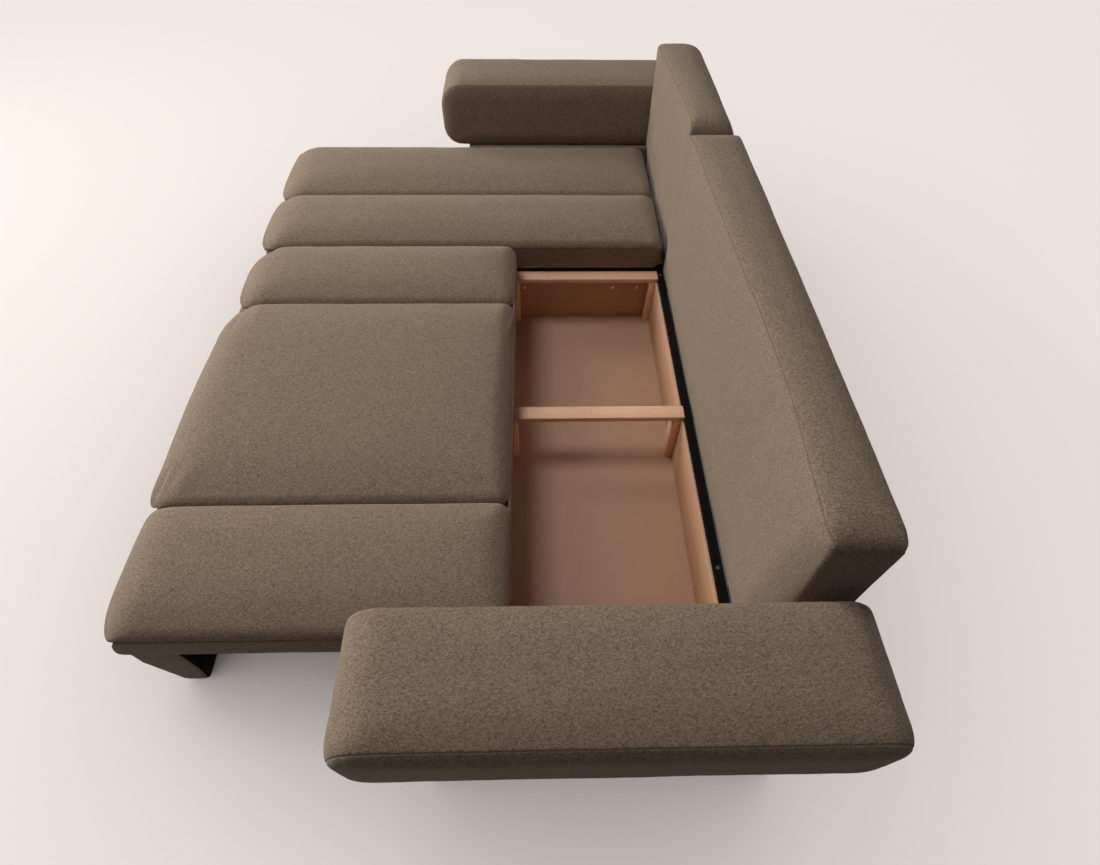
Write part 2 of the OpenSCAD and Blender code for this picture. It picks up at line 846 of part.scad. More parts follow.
module back_bolts() {
  color(zinc)
    for (x = bracket_xs)
      fastener([x + bracket_w / 2, y_back_face + plate_t, bracket_z + bracket_h / 2], [-90, 0, 0],
               bolt_head_r, bolt_head_h, bolt_r, plate_t);
}

// Swinging links

module rear_links() {
  reach = link_span / 2 + pin_len / 2;
  color(black)
    for (side = link_sides)
      bar(side[0] - side[1] * rear_plane, rear_pivot_y, low_pivot_z, rear_top_y, high_pivot_z,
          0, pin_r + pivot_play);
  color(steel)
    rod(box_mid - reach, box_mid + reach, rear_pivot_y, low_pivot_z, shaft_r);
}

module front_links() {
  color(black)
    for (side = link_sides)
      bar(side[0] + side[1] * rear_plane, front_pivot_y, low_pivot_z, front_top_y, high_pivot_z,
          pin_r + pivot_play, pin_r + free_play);
}

// Main seat

seat_seam_near = seat_x1 - near_pad_w;
seat_seam_far = seat_x0 + far_pad_w;
seat_frame_x0 = seat_x0 + border_t + touch;
seat_frame_x1 = seat_x1 - border_t - touch;
seat_frame_y1 = seat_y1 - border_t - touch;

module seat_near_pad() {
  color(cloth)
    cushion([seat_seam_near + touch, seat_x1, y_front, seat_y1, pad_z, seam_z],
            [seam_edge, pad_edge / 2, pad_edge, pad_edge / 2], pad_foot, pad_corner, pad_crown, pad_draw / 2);
}

module seat_middle_pad() {
  color(cloth)
    cushion([seat_seam_far + touch, seat_seam_near - touch, y_front, seat_y1, pad_z, seam_z],
            [seam_edge, seam_edge, pad_edge, pad_edge / 2], pad_foot, pad_corner / 2,
            pad_crown, pad_draw / 2);
}

module seat_far_pad() {
  color(cloth)
    cushion([seat_x0, seat_seam_far - touch, y_front, seat_y1, pad_z, seam_z],
            [pad_edge / 2, seam_edge, pad_edge, pad_edge / 2], pad_foot, pad_corner, pad_crown, pad_draw / 2);
}

module seat_side_rails() {
  pad_side_rails(seat_frame_x0, seat_frame_x1, frame_y0, seat_frame_y1);
}

seat_cross_count = 4;
module seat_cross_rails() {
  pad_cross_rails(seat_frame_x0, seat_frame_x1, frame_y0, seat_frame_y1, seat_cross_count);
}

// Boards between the cross rails, over the links' brackets and the rubber feet
module seat_mid_boards() {
  half_w = plate_plane + plate_t / 2 + flange_w;
  step = (seat_frame_y1 - frame_y0 - frame_t) / (seat_cross_count - 1);
  color(softwood)
    for (x = [box_mid, box_x1 - rail_w / 2, link_sides[0][0], link_sides[1][0]])
      for (i = [0 : seat_cross_count - 2]) {
        y = frame_y0 + frame_t + i * step;
        block(x - half_w, x + half_w, y + touch, y + step - frame_t - touch, skirt_z, skirt_z + board_t);
      }
}

module seat_springs() {
  springs(seat_frame_x0, seat_frame_x1, frame_y0, seat_frame_y1, 9);
}

module seat_border() {
  border(seat_x0, seat_x1, frame_y0, seat_y1, pad_foot_z);
}

module seat_plinth() {
  plinth(seat_x0 + plinth_in, seat_x1 - plinth_in, pad_foot_z);
}

module plinth_glides() {
  plinth_pads(seat_x0, seat_x1);
}

// Steel brackets under the seat frame hold the links' upper pivots
bracket_y0 = front_top_y - plate_margin;
bracket_y1 = rear_top_y + plate_margin;
bracket_bolt_ys = [bracket_y0 + flange_w, bracket_y1 - flange_w];
module seat_brackets() {
  color(steel)
    for (side = link_sides)
      for (k = [-1, 1]) {
        x = side[0] + k * plate_plane;
        outer = x + k * plate_t / 2;
        difference() {
          union() {
            block(x - plate_t / 2, x + plate_t / 2, bracket_y0, bracket_y1, high_pivot_z - plate_margin,
                  skirt_z - touch);
            block(min(x, outer + k * flange_w), max(x, outer + k * flange_w), bracket_y0, bracket_y1,
                  skirt_z - touch - plate_t, skirt_z - touch);
          }
          for (y = [rear_top_y, front_top_y])
            rod(x - plate_t, x + plate_t, y, high_pivot_z, pin_r + pivot_play);
          for (y = bracket_bolt_ys)
            translate([outer + k * flange_w / 2, y, skirt_z - touch - plate_t - cut])
              cylinder(r = bolt_r + touch, h = plate_t + 2 * cut);
        }
      }
}

module upper_pivot_pins() {
  color(zinc)
    for (side = link_sides)
      for (y = [rear_top_y, front_top_y])
        rod(side[0] - pin_len / 2, side[0] + pin_len / 2, y, high_pivot_z, pin_r);
}

module bracket_bolts() {
  color(zinc)
    for (side = link_sides)
      for (k = [-1, 1])
        for (y = bracket_bolt_ys)
          fastener([side[0] + k * flange_plane, y, skirt_z - touch - plate_t], [180, 0, 0],
                   bolt_head_r, bolt_head_h, bolt_r, plate_t);
}

// Rubber feet under the seat frame that land on the box's rails when the seat is closed
buffer_shares = [0.2, 0.8];
module seat_buffers() {
  buffer_r = 12;
  color(rubber)
    for (x = [box_x0 + rail_w / 2, box_mid, box_x1 - rail_w / 2])
      for (t = buffer_shares)
        translate([x, y_post + rail_len * t - seat_travel, rail_top + touch])
          cylinder(r = buffer_r, h = skirt_z - rail_top - 2 * touch);
}

box_floor();
base_runners();
box_rear_wall();
box_front_wall();
far_end_panel();
near_end_panel();
far_frame();
divider_frame();
near_frame();
end_panel_screws();
back_beam();
beam_screws();
bay_front_board();
link_plates();
link_plate_bolts();
lower_pivot_pins();
link_buffers();
box_glides();
chaise_side_boards();
chaise_cross_boards();
chaise_frame();
chaise_springs();
chaise_border();
chaise_inner_pad();
chaise_outer_pad();
chaise_plinth();
chaise_glides();
near_arm_base();
near_arm_riser();
near_arm_pad();
far_arm_base();
far_arm_riser();
far_arm_pad();
arm_bolts();
arm_and_back_glides();
main_back_pad();
chaise_back_pad();
back_rails();
back_uprights();
back_brackets();
back_bolts();
main_back_cover();
chaise_back_cover();
rear_links();
front_links();
seat_near_pad();
seat_middle_pad();
seat_far_pad();
seat_side_rails();
seat_cross_rails();
seat_mid_boards();
seat_springs();
seat_border();
seat_plinth();
plinth_glides();
seat_brackets();
upper_pivot_pins();
bracket_bolts();
seat_buffers();
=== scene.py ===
import json
import math
import bpy
import bmesh
import numpy as np
from mathutils import Matrix, Vector, kdtree, noise

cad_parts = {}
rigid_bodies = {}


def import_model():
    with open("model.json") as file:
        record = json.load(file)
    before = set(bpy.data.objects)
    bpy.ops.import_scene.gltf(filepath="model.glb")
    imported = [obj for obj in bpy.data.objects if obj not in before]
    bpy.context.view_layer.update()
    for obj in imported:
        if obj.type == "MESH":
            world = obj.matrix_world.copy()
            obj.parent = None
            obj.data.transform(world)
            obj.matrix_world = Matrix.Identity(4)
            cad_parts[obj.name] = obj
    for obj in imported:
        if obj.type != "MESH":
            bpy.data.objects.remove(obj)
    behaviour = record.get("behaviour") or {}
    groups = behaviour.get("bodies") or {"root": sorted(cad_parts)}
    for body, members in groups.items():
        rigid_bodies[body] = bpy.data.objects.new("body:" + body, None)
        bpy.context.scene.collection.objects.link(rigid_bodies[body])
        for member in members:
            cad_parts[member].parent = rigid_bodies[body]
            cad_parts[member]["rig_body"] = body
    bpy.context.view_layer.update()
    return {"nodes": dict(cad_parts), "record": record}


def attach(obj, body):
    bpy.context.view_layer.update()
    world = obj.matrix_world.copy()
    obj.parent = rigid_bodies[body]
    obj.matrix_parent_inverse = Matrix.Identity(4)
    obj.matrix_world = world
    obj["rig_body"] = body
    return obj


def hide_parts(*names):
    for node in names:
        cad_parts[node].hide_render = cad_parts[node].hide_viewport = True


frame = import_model()
scene = bpy.context.scene
mm = 0.001
print("frame loaded,", len(frame["nodes"]), "nodes")


def newObject(name, data):
    thing = bpy.data.objects.new(name, data)
    scene.collection.objects.link(thing)
    return thing


def plainMesh(name, verts, edges=(), faces=()):
    mesh = bpy.data.meshes.new(name)
    mesh.from_pydata([tuple(v) for v in verts], list(edges), [tuple(f) for f in faces])
    return mesh


# ---- camera: the picture's frame is 1100 x 865 pixels

viewpoint = {
    "place": (1.6714, 0.1894, 1.9438), "pitch": 52.82, "yaw": -2.08, "roll": 1.19, "focalPixels": 620.0,
    "imageWidth": 1100.0, "sensor": 36.0}


def makeCamera(c):
    pitch, yaw, roll = (math.radians(c[k]) for k in ("pitch", "yaw", "roll"))
    forward = Vector((-math.cos(pitch) * math.cos(yaw), -math.cos(pitch) * math.sin(yaw), -math.sin(pitch)))
    side = Vector((-math.sin(yaw), math.cos(yaw), 0))
    up = side.cross(forward)
    right = math.cos(roll) * side + math.sin(roll) * up
    top = -math.sin(roll) * side + math.cos(roll) * up
    data = bpy.data.cameras.new("viewpoint")
    data.sensor_width = c["sensor"]
    data.lens = c["sensor"] * c["focalPixels"] / c["imageWidth"]
    cam = newObject("viewpoint", data)
    cam.matrix_world = Matrix.Translation(c["place"]) @ Matrix((right, top, -forward)).transposed().to_4x4()
    scene.camera = cam


makeCamera(viewpoint)
scene.view_settings.view_transform = "Standard"
print("camera made")


# ---- shader helpers

def feed(tree, sockets, values):
    # sets each named socket, or links it where the value is a socket, or a node, which stands for its first output
    for key, value in values.items():
        if isinstance(value, bpy.types.Node):
            value = value.outputs[0]
        if isinstance(value, bpy.types.NodeSocket):
            tree.links.new(value, sockets[key])
        else:
            sockets[key].default_value = value


def addNode(tree, kind, values=None, **props):
    node = tree.nodes.new(kind)
    for key, value in props.items():
        setattr(node, key, value)
    feed(tree, node.inputs, values or {})
    return node


socketKinds = {tuple: "Color", float: "Float", int: "Int"}


def newGroup(name, inputs, outputs, kind="ShaderNodeTree"):
    # inputs: the default of each, or the kind of its socket where it has none
    tree = bpy.data.node_groups.new(name, kind)
    for label, value in inputs.items():
        socket = socketKinds.get(type(value), value)
        s = tree.interface.new_socket(label, in_out="INPUT", socket_type="NodeSocket" + socket)
        if socket != value:
            s.default_value = value
    for label, socket in outputs.items():
        tree.interface.new_socket(label, in_out="OUTPUT", socket_type="NodeSocket" + socket)
    return tree, tree.nodes.new("NodeGroupInput").outputs, tree.nodes.new("NodeGroupOutput").inputs


def calc(tree, operation, a, b=0.0):
    return addNode(tree, "ShaderNodeMath", {0: a, 1: b}, operation=operation).outputs[0]


def times(tree, a, b):
    return calc(tree, "MULTIPLY", a, b)


def mixColour(tree, factor, a, b):
    # the mix node's sockets 6 and 7 are its two colours, and output 2 the mixed one
    return addNode(tree, "ShaderNodeMix", {0: factor, 6: a, 7: b}, data_type="RGBA").outputs[2]


def remap(tree, value, low, high, outLow=0.0, outHigh=1.0):
    return addNode(tree, "ShaderNodeMapRange", {"Value": value, "From Min": low, "From Max": high,
                                                "To Min": outLow, "To Max": outHigh}).outputs[0]


def noiseAt(tree, vector, scale, detail, rough=0.55, distortion=0.0):
    return addNode(tree, "ShaderNodeTexNoise", {"Vector": vector, "Scale": scale, "Detail": detail,
                                                "Roughness": rough, "Distortion": distortion}).outputs["Fac"]


def stretched(tree, vector, scale, turn=(0, 0, 0)):
    return addNode(tree, "ShaderNodeMapping", {"Vector": vector, "Scale": scale, "Rotation": turn}).outputs[0]


def seenRays(tree):
    # 1 for what the camera, metal and glass see, 0 for light that bounces
    rays = addNode(tree, "ShaderNodeLightPath").outputs
    return calc(tree, "MAXIMUM", calc(tree, "MAXIMUM", rays["Is Camera Ray"], rays["Is Glossy Ray"]),
                rays["Is Transmission Ray"])


def scaled(colour, share):
    return tuple(v * share for v in colour[:3]) + (1,)


# ---- finishes

surface = {"Colour": "Color", "Roughness": "Float", "Height": "Float"}


def napGroup():
    # brushed cloth: flecks and fibres along its strokes, broad worn patches, and a painted shade that darkens it in the
    # seams
    tree, i, o = newGroup("brushedNap", {"Vector": "Vector", "Colour": (0.3, 0.25, 0.2, 1),
                                         "Deep Colour": (0.2, 0.16, 0.12, 1), "Worn Colour": (0.4, 0.34, 0.28, 1),
                                         "Fleck Scale": 150.0, "Seam": 0.0}, surface)
    strokes = stretched(tree, i["Vector"], (1.0, 0.6, 0.85), (0.5, 0.3, 0.7))
    fleck = noiseAt(tree, strokes, i["Fleck Scale"], 2.0, 0.6, 0.5)
    fibre = noiseAt(tree, strokes, times(tree, i["Fleck Scale"], 2.1), 1.0, 0.6, 0.4)
    patch = noiseAt(tree, i["Vector"], times(tree, i["Fleck Scale"], 0.1), 4.0, 0.6, 0.3)
    nap = calc(tree, "ADD", times(tree, fleck, 0.5), times(tree, fibre, 0.5))
    c = mixColour(tree, remap(tree, nap, 0.5, 0.38), i["Colour"], i["Deep Colour"])
    c = mixColour(tree, remap(tree, nap, 0.5, 0.62), c, i["Worn Colour"])
    c = mixColour(tree, remap(tree, patch, 0.35, 0.7, 0.0, 0.12), c, i["Worn Colour"])
    # painted shade: the colour darkens towards the deep colour along the seams
    feed(tree, o, {"Colour": mixColour(tree, times(tree, i["Seam"], 0.7), c, i["Deep Colour"]),
                   "Roughness": remap(tree, nap, 0.3, 0.7, 0.96, 0.84),
                   "Height": calc(tree, "SUBTRACT", nap, times(tree, i["Seam"], 0.3))})
    return tree


def grainGroup():
    # planed or sawn wood, its grain along the vector's first axis
    tree, i, o = newGroup("woodGrain", {"Vector": "Vector", "Colour": (0.6, 0.4, 0.25, 1),
                                        "Late Colour": (0.45, 0.28, 0.16, 1), "Streaks": 1.0, "Pores": 0.3}, surface)
    broad = noiseAt(tree, stretched(tree, i["Vector"], (1.6, 22.0, 22.0)), 1.0, 4.0, 0.6, 0.9)
    fine = noiseAt(tree, stretched(tree, i["Vector"], (5.0, 190.0, 190.0)), 1.0, 4.0, 0.7, 0.2)
    pore = noiseAt(tree, stretched(tree, i["Vector"], (60.0, 1400.0, 1400.0)), 1.0, 2.0, 0.5)
    streak = times(tree, i["Streaks"], remap(tree, broad, 0.42, 0.66, 0.0, 0.75))
    c = mixColour(tree, streak, i["Colour"], i["Late Colour"])
    c = mixColour(tree, remap(tree, fine, 0.45, 0.75, 0.0, 0.5), c, i["Late Colour"])
    dots = times(tree, i["Pores"], remap(tree, pore, 0.58, 0.66))
    feed(tree, o, {"Colour": mixColour(tree, dots, c, (0.12, 0.06, 0.03, 1)),
                   "Roughness": remap(tree, fine, 0.3, 0.7, 0.5, 0.68), "Height": calc(tree, "SUBTRACT", fine, dots)})
    return tree


def speckGroup():
    # board, metal, rubber or thread with small marks in patches
    tree, i, o = newGroup("speckled", {"Vector": "Vector", "Colour": (0.5, 0.5, 0.5, 1),
                                       "Mark Colour": (0.3, 0.3, 0.3, 1), "Scale": 300.0, "Roughness": 0.5,
                                       "Spread": 0.15}, surface)
    small = noiseAt(tree, i["Vector"], i["Scale"], 4.0, 0.65)
    wide = noiseAt(tree, i["Vector"], times(tree, i["Scale"], 0.08), 3.0, 0.6)
    mark = times(tree, remap(tree, small, 0.45, 0.7), remap(tree, wide, 0.35, 0.65, 0.35, 1.0))
    feed(tree, o, {"Colour": mixColour(tree, mark, i["Colour"], i["Mark Colour"]), "Height": small,
                   "Roughness": calc(tree, "ADD", i["Roughness"], times(tree, i["Spread"], mark))})
    return tree


groups = {"nap": napGroup(), "grain": grainGroup(), "speck": speckGroup()}


def newMaterial(name):
    material = bpy.data.materials.new(name)
    material.use_nodes = True
    return material, material.node_tree, material.node_tree.nodes["Principled BSDF"].inputs


def finish(name, group, values, bump, fixed):
    # bump: its strength and distance; fixed: inputs of the shader itself
    material, tree, shader = newMaterial(name)
    if group == "grain":
        vector = addNode(tree, "ShaderNodeUVMap", uv_map="grain")
    else:
        vector = addNode(tree, "ShaderNodeTexCoord").outputs["Object"]
    values = {"Vector": vector, **values}
    if group == "nap":
        # the painted shade along the seams, read from the mesh attribute that dressPad stores
        values["Seam"] = addNode(tree, "ShaderNodeAttribute", attribute_name="seam").outputs["Fac"]
    g = addNode(tree, "ShaderNodeGroup", values, node_tree=groups[group]).outputs
    relief = addNode(tree, "ShaderNodeBump", {"Strength": bump[0], "Distance": bump[1], "Height": g["Height"]})
    feed(tree, shader, {"Base Color": g["Colour"], "Roughness": g["Roughness"], "Normal": relief, **fixed})
    return material


def wood(name, colour, late, streaks, pores, bump, shine):
    values = {"Colour": (*colour, 1), "Late Colour": (*late, 1), "Streaks": streaks, "Pores": pores}
    return finish(name, "grain", values, bump, {"Specular IOR Level": shine})


def plain(name, colour, mark, scale, rough, bump, spread=0.15, shine=0.5, metal=0.0):
    values = {"Colour": (*colour, 1), "Mark Colour": (*mark, 1), "Scale": scale, "Roughness": rough, "Spread": spread}
    return finish(name, "speck", values, bump, {"Specular IOR Level": shine, "Metallic": metal})


clothLook = {
    "Colour": (0.212, 0.153, 0.106, 1), "Deep Colour": (0.110, 0.075, 0.047, 1),
    "Worn Colour": (0.310, 0.232, 0.168, 1), "Fleck Scale": 270.0}
clothShine = {
    "Sheen Weight": 0.18, "Sheen Roughness": 0.5, "Sheen Tint": (1.0, 0.93, 0.85, 1), "Specular IOR Level": 0.09}
materials = {
    "cloth": finish("taupeCloth", "nap", clothLook, (1.0, 0.0018), clothShine),
    # wood: colour, late wood, streaks, pores, (bump strength, distance), shine
    "beech": wood("planedBeech", (0.92, 0.575, 0.39), (0.78, 0.45, 0.285), 0.6, 0.45, (0.25, 0.0004), 0.35),
    "plywood": wood("birchPlywood", (0.63, 0.37, 0.225), (0.49, 0.28, 0.16), 0.6, 0.2, (0.25, 0.0004), 0.3),
    "softwood": wood("sawnSoftwood", (0.58, 0.42, 0.24), (0.42, 0.26, 0.12), 1.0, 0.1, (0.5, 0.0008), 0.25),
    # the rest: colour, marks, their scale, roughness, (bump strength, distance)
    "thread": plain("taupeThread", (0.13, 0.097, 0.066), (0.08, 0.058, 0.038), 900.0, 0.8, (0.3, 0.0003)),
    "hardboard": plain("brownHardboard", (0.27, 0.15, 0.08), (0.18, 0.09, 0.045), 260.0, 0.55, (0.3, 0.0004),
                       shine=0.35),
    # a lighter copy of the hardboard for the end panels, which lie in shade: painted light
    "endPanel": plain("brownEndPanel", (0.50, 0.29, 0.165), (0.36, 0.19, 0.10), 260.0, 0.55, (0.3, 0.0004), shine=0.35),
    "boxFloor": plain("palePanel", (0.48, 0.30, 0.21), (0.38, 0.23, 0.15), 300.0, 0.6, (0.3, 0.0004), shine=0.3),
    "lining": plain("blackLining", (0.006, 0.0055, 0.005), (0.014, 0.013, 0.012), 500.0, 0.95, (0.5, 0.0005),
                    shine=0.04),
    "steel": plain("pressedSteel", (0.52, 0.53, 0.55), (0.38, 0.38, 0.39), 350.0, 0.34, (0.15, 0.0002), 0.2, metal=1.0),
    "zinc": plain("zincPlate", (0.7, 0.7, 0.69), (0.52, 0.52, 0.5), 600.0, 0.3, (0.12, 0.0001), 0.2, metal=1.0),
    "blackSteel": plain("blackPowderCoat", (0.018, 0.018, 0.019), (0.03, 0.03, 0.031), 800.0, 0.42, (0.35, 0.0003)),
    "rubber": plain("mouldedRubber", (0.02, 0.02, 0.02), (0.035, 0.035, 0.034), 400.0, 0.7, (0.3, 0.0003))}
nodeSlots = {s["node"]: s["material_slot"] for s in frame["record"]["subparts"]}
# slots and nodes whose look has another name
slotLooks = {"cloth_board": "cloth", "black_board": "lining", "black_steel": "blackSteel"}
nodeLooks = {
    "far_end_panel": "endPanel", "near_end_panel": "endPanel", "box_floor": "boxFloor", "back_brackets": "blackSteel"}


def lookOf(node):
    slot = nodeSlots[node]
    return materials[nodeLooks.get(node, slotLooks.get(slot, slot))]


print("materials made:", len(materials))


# ---- light and floor

lighting = {
    "world": (1.0, 0.97, 0.95), "worldStrength": 0.067, "seenWorld": (0.90, 0.84, 0.81, 1),
    "tint": (1.0, 0.985, 0.965), "aim": (0, 0, 0.3),
    "lamps": [("frontKey", (-1.0, -4.5, 1.8), 2.0, 153.0), ("leftFill", (-10.0, -14.0, 6.1), 6.0, 920.0),
              ("farKey", (-12.0, -12.0, 15.0), 6.0, 960.0), ("topKey", (-0.3, -1.2, 5.0), 1.6, 90.0)]}


def makeLights(c):
    # the camera, metal and glass see a pale surround; the sofa is lit by the dim one
    world = bpy.data.worlds.new("studio")
    world.use_nodes = True
    tree = world.node_tree
    surround = mixColour(tree, seenRays(tree), scaled(c["world"], c["worldStrength"]), c["seenWorld"])
    feed(tree, tree.nodes["Background"].inputs, {"Color": surround})
    scene.world = world
    for name, place, size, power in c["lamps"]:
        data = bpy.data.lights.new(name, "AREA")
        data.size, data.energy, data.color = size, power, c["tint"]
        lamp = newObject(name, data)
        lamp.location = place
        lamp.rotation_euler = (Vector(c["aim"]) - Vector(place)).to_track_quat("-Z", "Y").to_euler()


makeLights(lighting)

floorLook = {
    "reach": 60.0, "colour": (0.875, 0.795, 0.755, 1), "drop": 0.0004, "shadeShare": 0.14, "glow": 0.89,
    "bounce": 0.55, "reachOfShade": 2.0, "Roughness": 0.9, "Specular IOR Level": 0.1}


def makeFloor(c):
    # most of its tone is an even glow, dimmed by ambient occlusion where the sofa stands over it as a painted shade;
    # the rest shows the lamps' light and shadow
    r, z = c["reach"], -c["drop"]
    mesh = plainMesh("floor", [(-r, -r, z), (r, -r, z), (r, r, z), (-r, r, z)], faces=[(0, 1, 2, 3)])
    floor = newObject("floor", mesh)
    material, tree, shader = newMaterial("paleFloor")
    seen = seenRays(tree)
    tone = mixColour(tree, seen, scaled(c["colour"], c["bounce"]), scaled(c["colour"], c["shadeShare"]))
    # ambient occlusion dims the glow near the sofa: painted shade
    sky = addNode(tree, "ShaderNodeAmbientOcclusion", {"Distance": c["reachOfShade"]}, samples=16).outputs["AO"]
    feed(tree, shader, {"Base Color": tone, "Emission Color": c["colour"],
                        "Emission Strength": times(tree, times(tree, sky, c["glow"]), seen),
                        "Roughness": c["Roughness"], "Specular IOR Level": c["Specular IOR Level"]})
    mesh.materials.append(material)


makeFloor(floorLook)


# ---- pieces in general

def pieceName(node):
    # seat_near_pad gives seatNearPad
    return "".join(w.capitalize() if k else w for k, w in enumerate(node.split("_")))


def smoothAll(mesh):
    mesh.polygons.foreach_set("use_smooth", [True] * len(mesh.polygons))


def newPiece(name, verts, faces):
    mesh = plainMesh(name, verts, faces=faces)
    mesh.validate()
    mesh.materials.append(materials["cloth"])
    smoothAll(mesh)
    return newObject(name, mesh)


def outwards(piece):
    b = bmesh.new()
    b.from_mesh(piece.data)
    bmesh.ops.recalc_face_normals(b, faces=b.faces)
    b.to_mesh(piece.data)
    b.free()


def baked(piece):
    # one plain mesh from the piece and its modifiers
    mesh = bpy.data.meshes.new_from_object(piece.evaluated_get(bpy.context.evaluated_depsgraph_get()))
    old = piece.data
    piece.modifiers.clear()
    piece.data = mesh
    bpy.data.meshes.remove(old)


def settle(piece, node):
    # the piece takes over a CAD node's place and body
    body, slot = frame["nodes"][node]["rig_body"], nodeSlots[node]
    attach(piece, body)
    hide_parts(node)


def coordsOf(mesh):
    co = np.empty(len(mesh.vertices) * 3)
    mesh.vertices.foreach_get("co", co)
    return co.reshape(-1, 3)


def ringFaces(count, n):
    # faces between rings of n points each, and over the first and the last ring
    faces = []
    for a in range(0, (count - 1) * n, n):
        faces += [(a + j, a + n + j, a + n + (j + 1) % n, a + (j + 1) % n) for j in range(n)]
    last = (count - 1) * n
    return faces + [tuple(range(n))[::-1], tuple(range(last, last + n))]


def rise(value, start, span):
    # 0 up to the start, then up to 1 over the span
    return np.clip((value - start) / span, 0, 1)


def fade(h, reach):
    # 1 at an end, 0 from the reach on
    return np.clip(1 - h / reach, 0, 1)


def turned(h, reach):
    # a quarter circle from 1 at an end to 0 at the reach
    return 1 - np.sqrt(1 - fade(h, reach) ** 2)


# ---- padded blocks: cloth wrapped over front, top and rear, with a side panel at each X end

def spread(low, high, easeLow, easeHigh, cell):
    # lattice lines along one side of a block, closer together where it turns
    shares = (0.0, 0.12, 0.3, 0.6, 1.0) if max(easeLow, easeHigh) > 0.012 else (0.0, 0.4, 1.0)
    start, end = low + easeLow, high - easeHigh
    count = max(1, round((end - start) / cell))
    middle = [start + (end - start) * k / count for k in range(1, count)]
    return [low + easeLow * s for s in shares] + middle + [high - easeHigh * s for s in shares[::-1]]


def latticeBox(lines):
    # vertices and faces of a closed box with these lines along X, Y and Z
    n = [len(a) for a in lines]
    index, verts = {}, []

    def at(*ijk):
        if ijk not in index:
            index[ijk] = len(verts)
            verts.append([lines[a][ijk[a]] for a in range(3)])
        return index[ijk]

    faces = []
    for axis in range(3):
        u, v = (axis + 1) % 3, (axis + 2) % 3
        for end in (0, n[axis] - 1):
            for a in range(n[u] - 1):
                for b in range(n[v] - 1):
                    quad = []
                    for da, db in ((0, 0), (1, 0), (1, 1), (0, 1)):
                        ijk = [0, 0, 0]
                        ijk[axis], ijk[u], ijk[v] = end, a + da, b + db
                        quad.append(at(*ijk))
                    faces.append(quad if end else quad[::-1])
    return np.array(verts), faces, index, n


def rimPath(index, n, end):
    # vertices round one side panel, in order
    path = []
    for a, b in ([(k, 0) for k in range(n[1])] + [(n[1] - 1, k) for k in range(1, n[2])]
                 + [(k, n[2] - 1) for k in range(n[1] - 2, -1, -1)] + [(0, k) for k in range(n[2] - 2, -1, -1)]):
        path.append(index[(n[0] - 1 if end else 0, a, b)])
    return path


def edgePath(index, n, rear, top):
    # vertices along the block on one of its long edges
    return [index[(k, n[1] - 1 if rear else 0, n[2] - 1 if top else 0)] for k in range(n[0])]


def roundedPoint(point, low, high, corners, ends):
    # a box's point moved onto its rounded section, and drawn in near the box's X ends
    x, y, z = point
    far, rear, top = (int(v) for v in point > (low + high) / 2)
    ry, rz = corners[rear][top]
    sy, sz = (1 if rear else -1), (1 if top else -1)
    cy, cz = (high[1] - ry if rear else low[1] + ry), (high[2] - rz if top else low[2] + rz)
    qy, qz = sy * (y - cy) / ry, sz * (z - cz) / rz
    if qy > 0 and qz > 0:
        m, length = max(qy, qz), math.hypot(qy, qz)
        uy, uz = qy / length, qz / length
        y, z = cy + sy * ry * uy * m, cz + sz * rz * uz * m
        reach = math.hypot(ry * uy, rz * uz)
        depth, ny, nz = (1 - m) * reach, -sy * ry * uy / reach, -sz * rz * uz / reach
    else:
        dy, dz = (high[1] - y if rear else y - low[1]), (high[2] - z if top else z - low[2])
        depth, ny, nz = (dy, -sy, 0) if dy < dz else (dz, 0, -sz)
    along, inward = ends[far][:2]
    if len(ends[far]) == 4:   # the top is eased more than the sides
        along += (ends[far][2] - along) * max(0, -nz)
        inward += (ends[far][3] - inward) * max(0, -nz)
    h = high[0] - x if far else x - low[0]
    if depth < inward and h < along:
        a, b = (inward - depth) / inward, (along - h) / along
        length = math.hypot(a, b)
        shift = inward * (1 - a / length) - depth
        h = along * (1 - b / length)
        y, z = y + ny * shift, z + nz * shift
        x = high[0] - h if far else low[0] + h
    return x, y, z


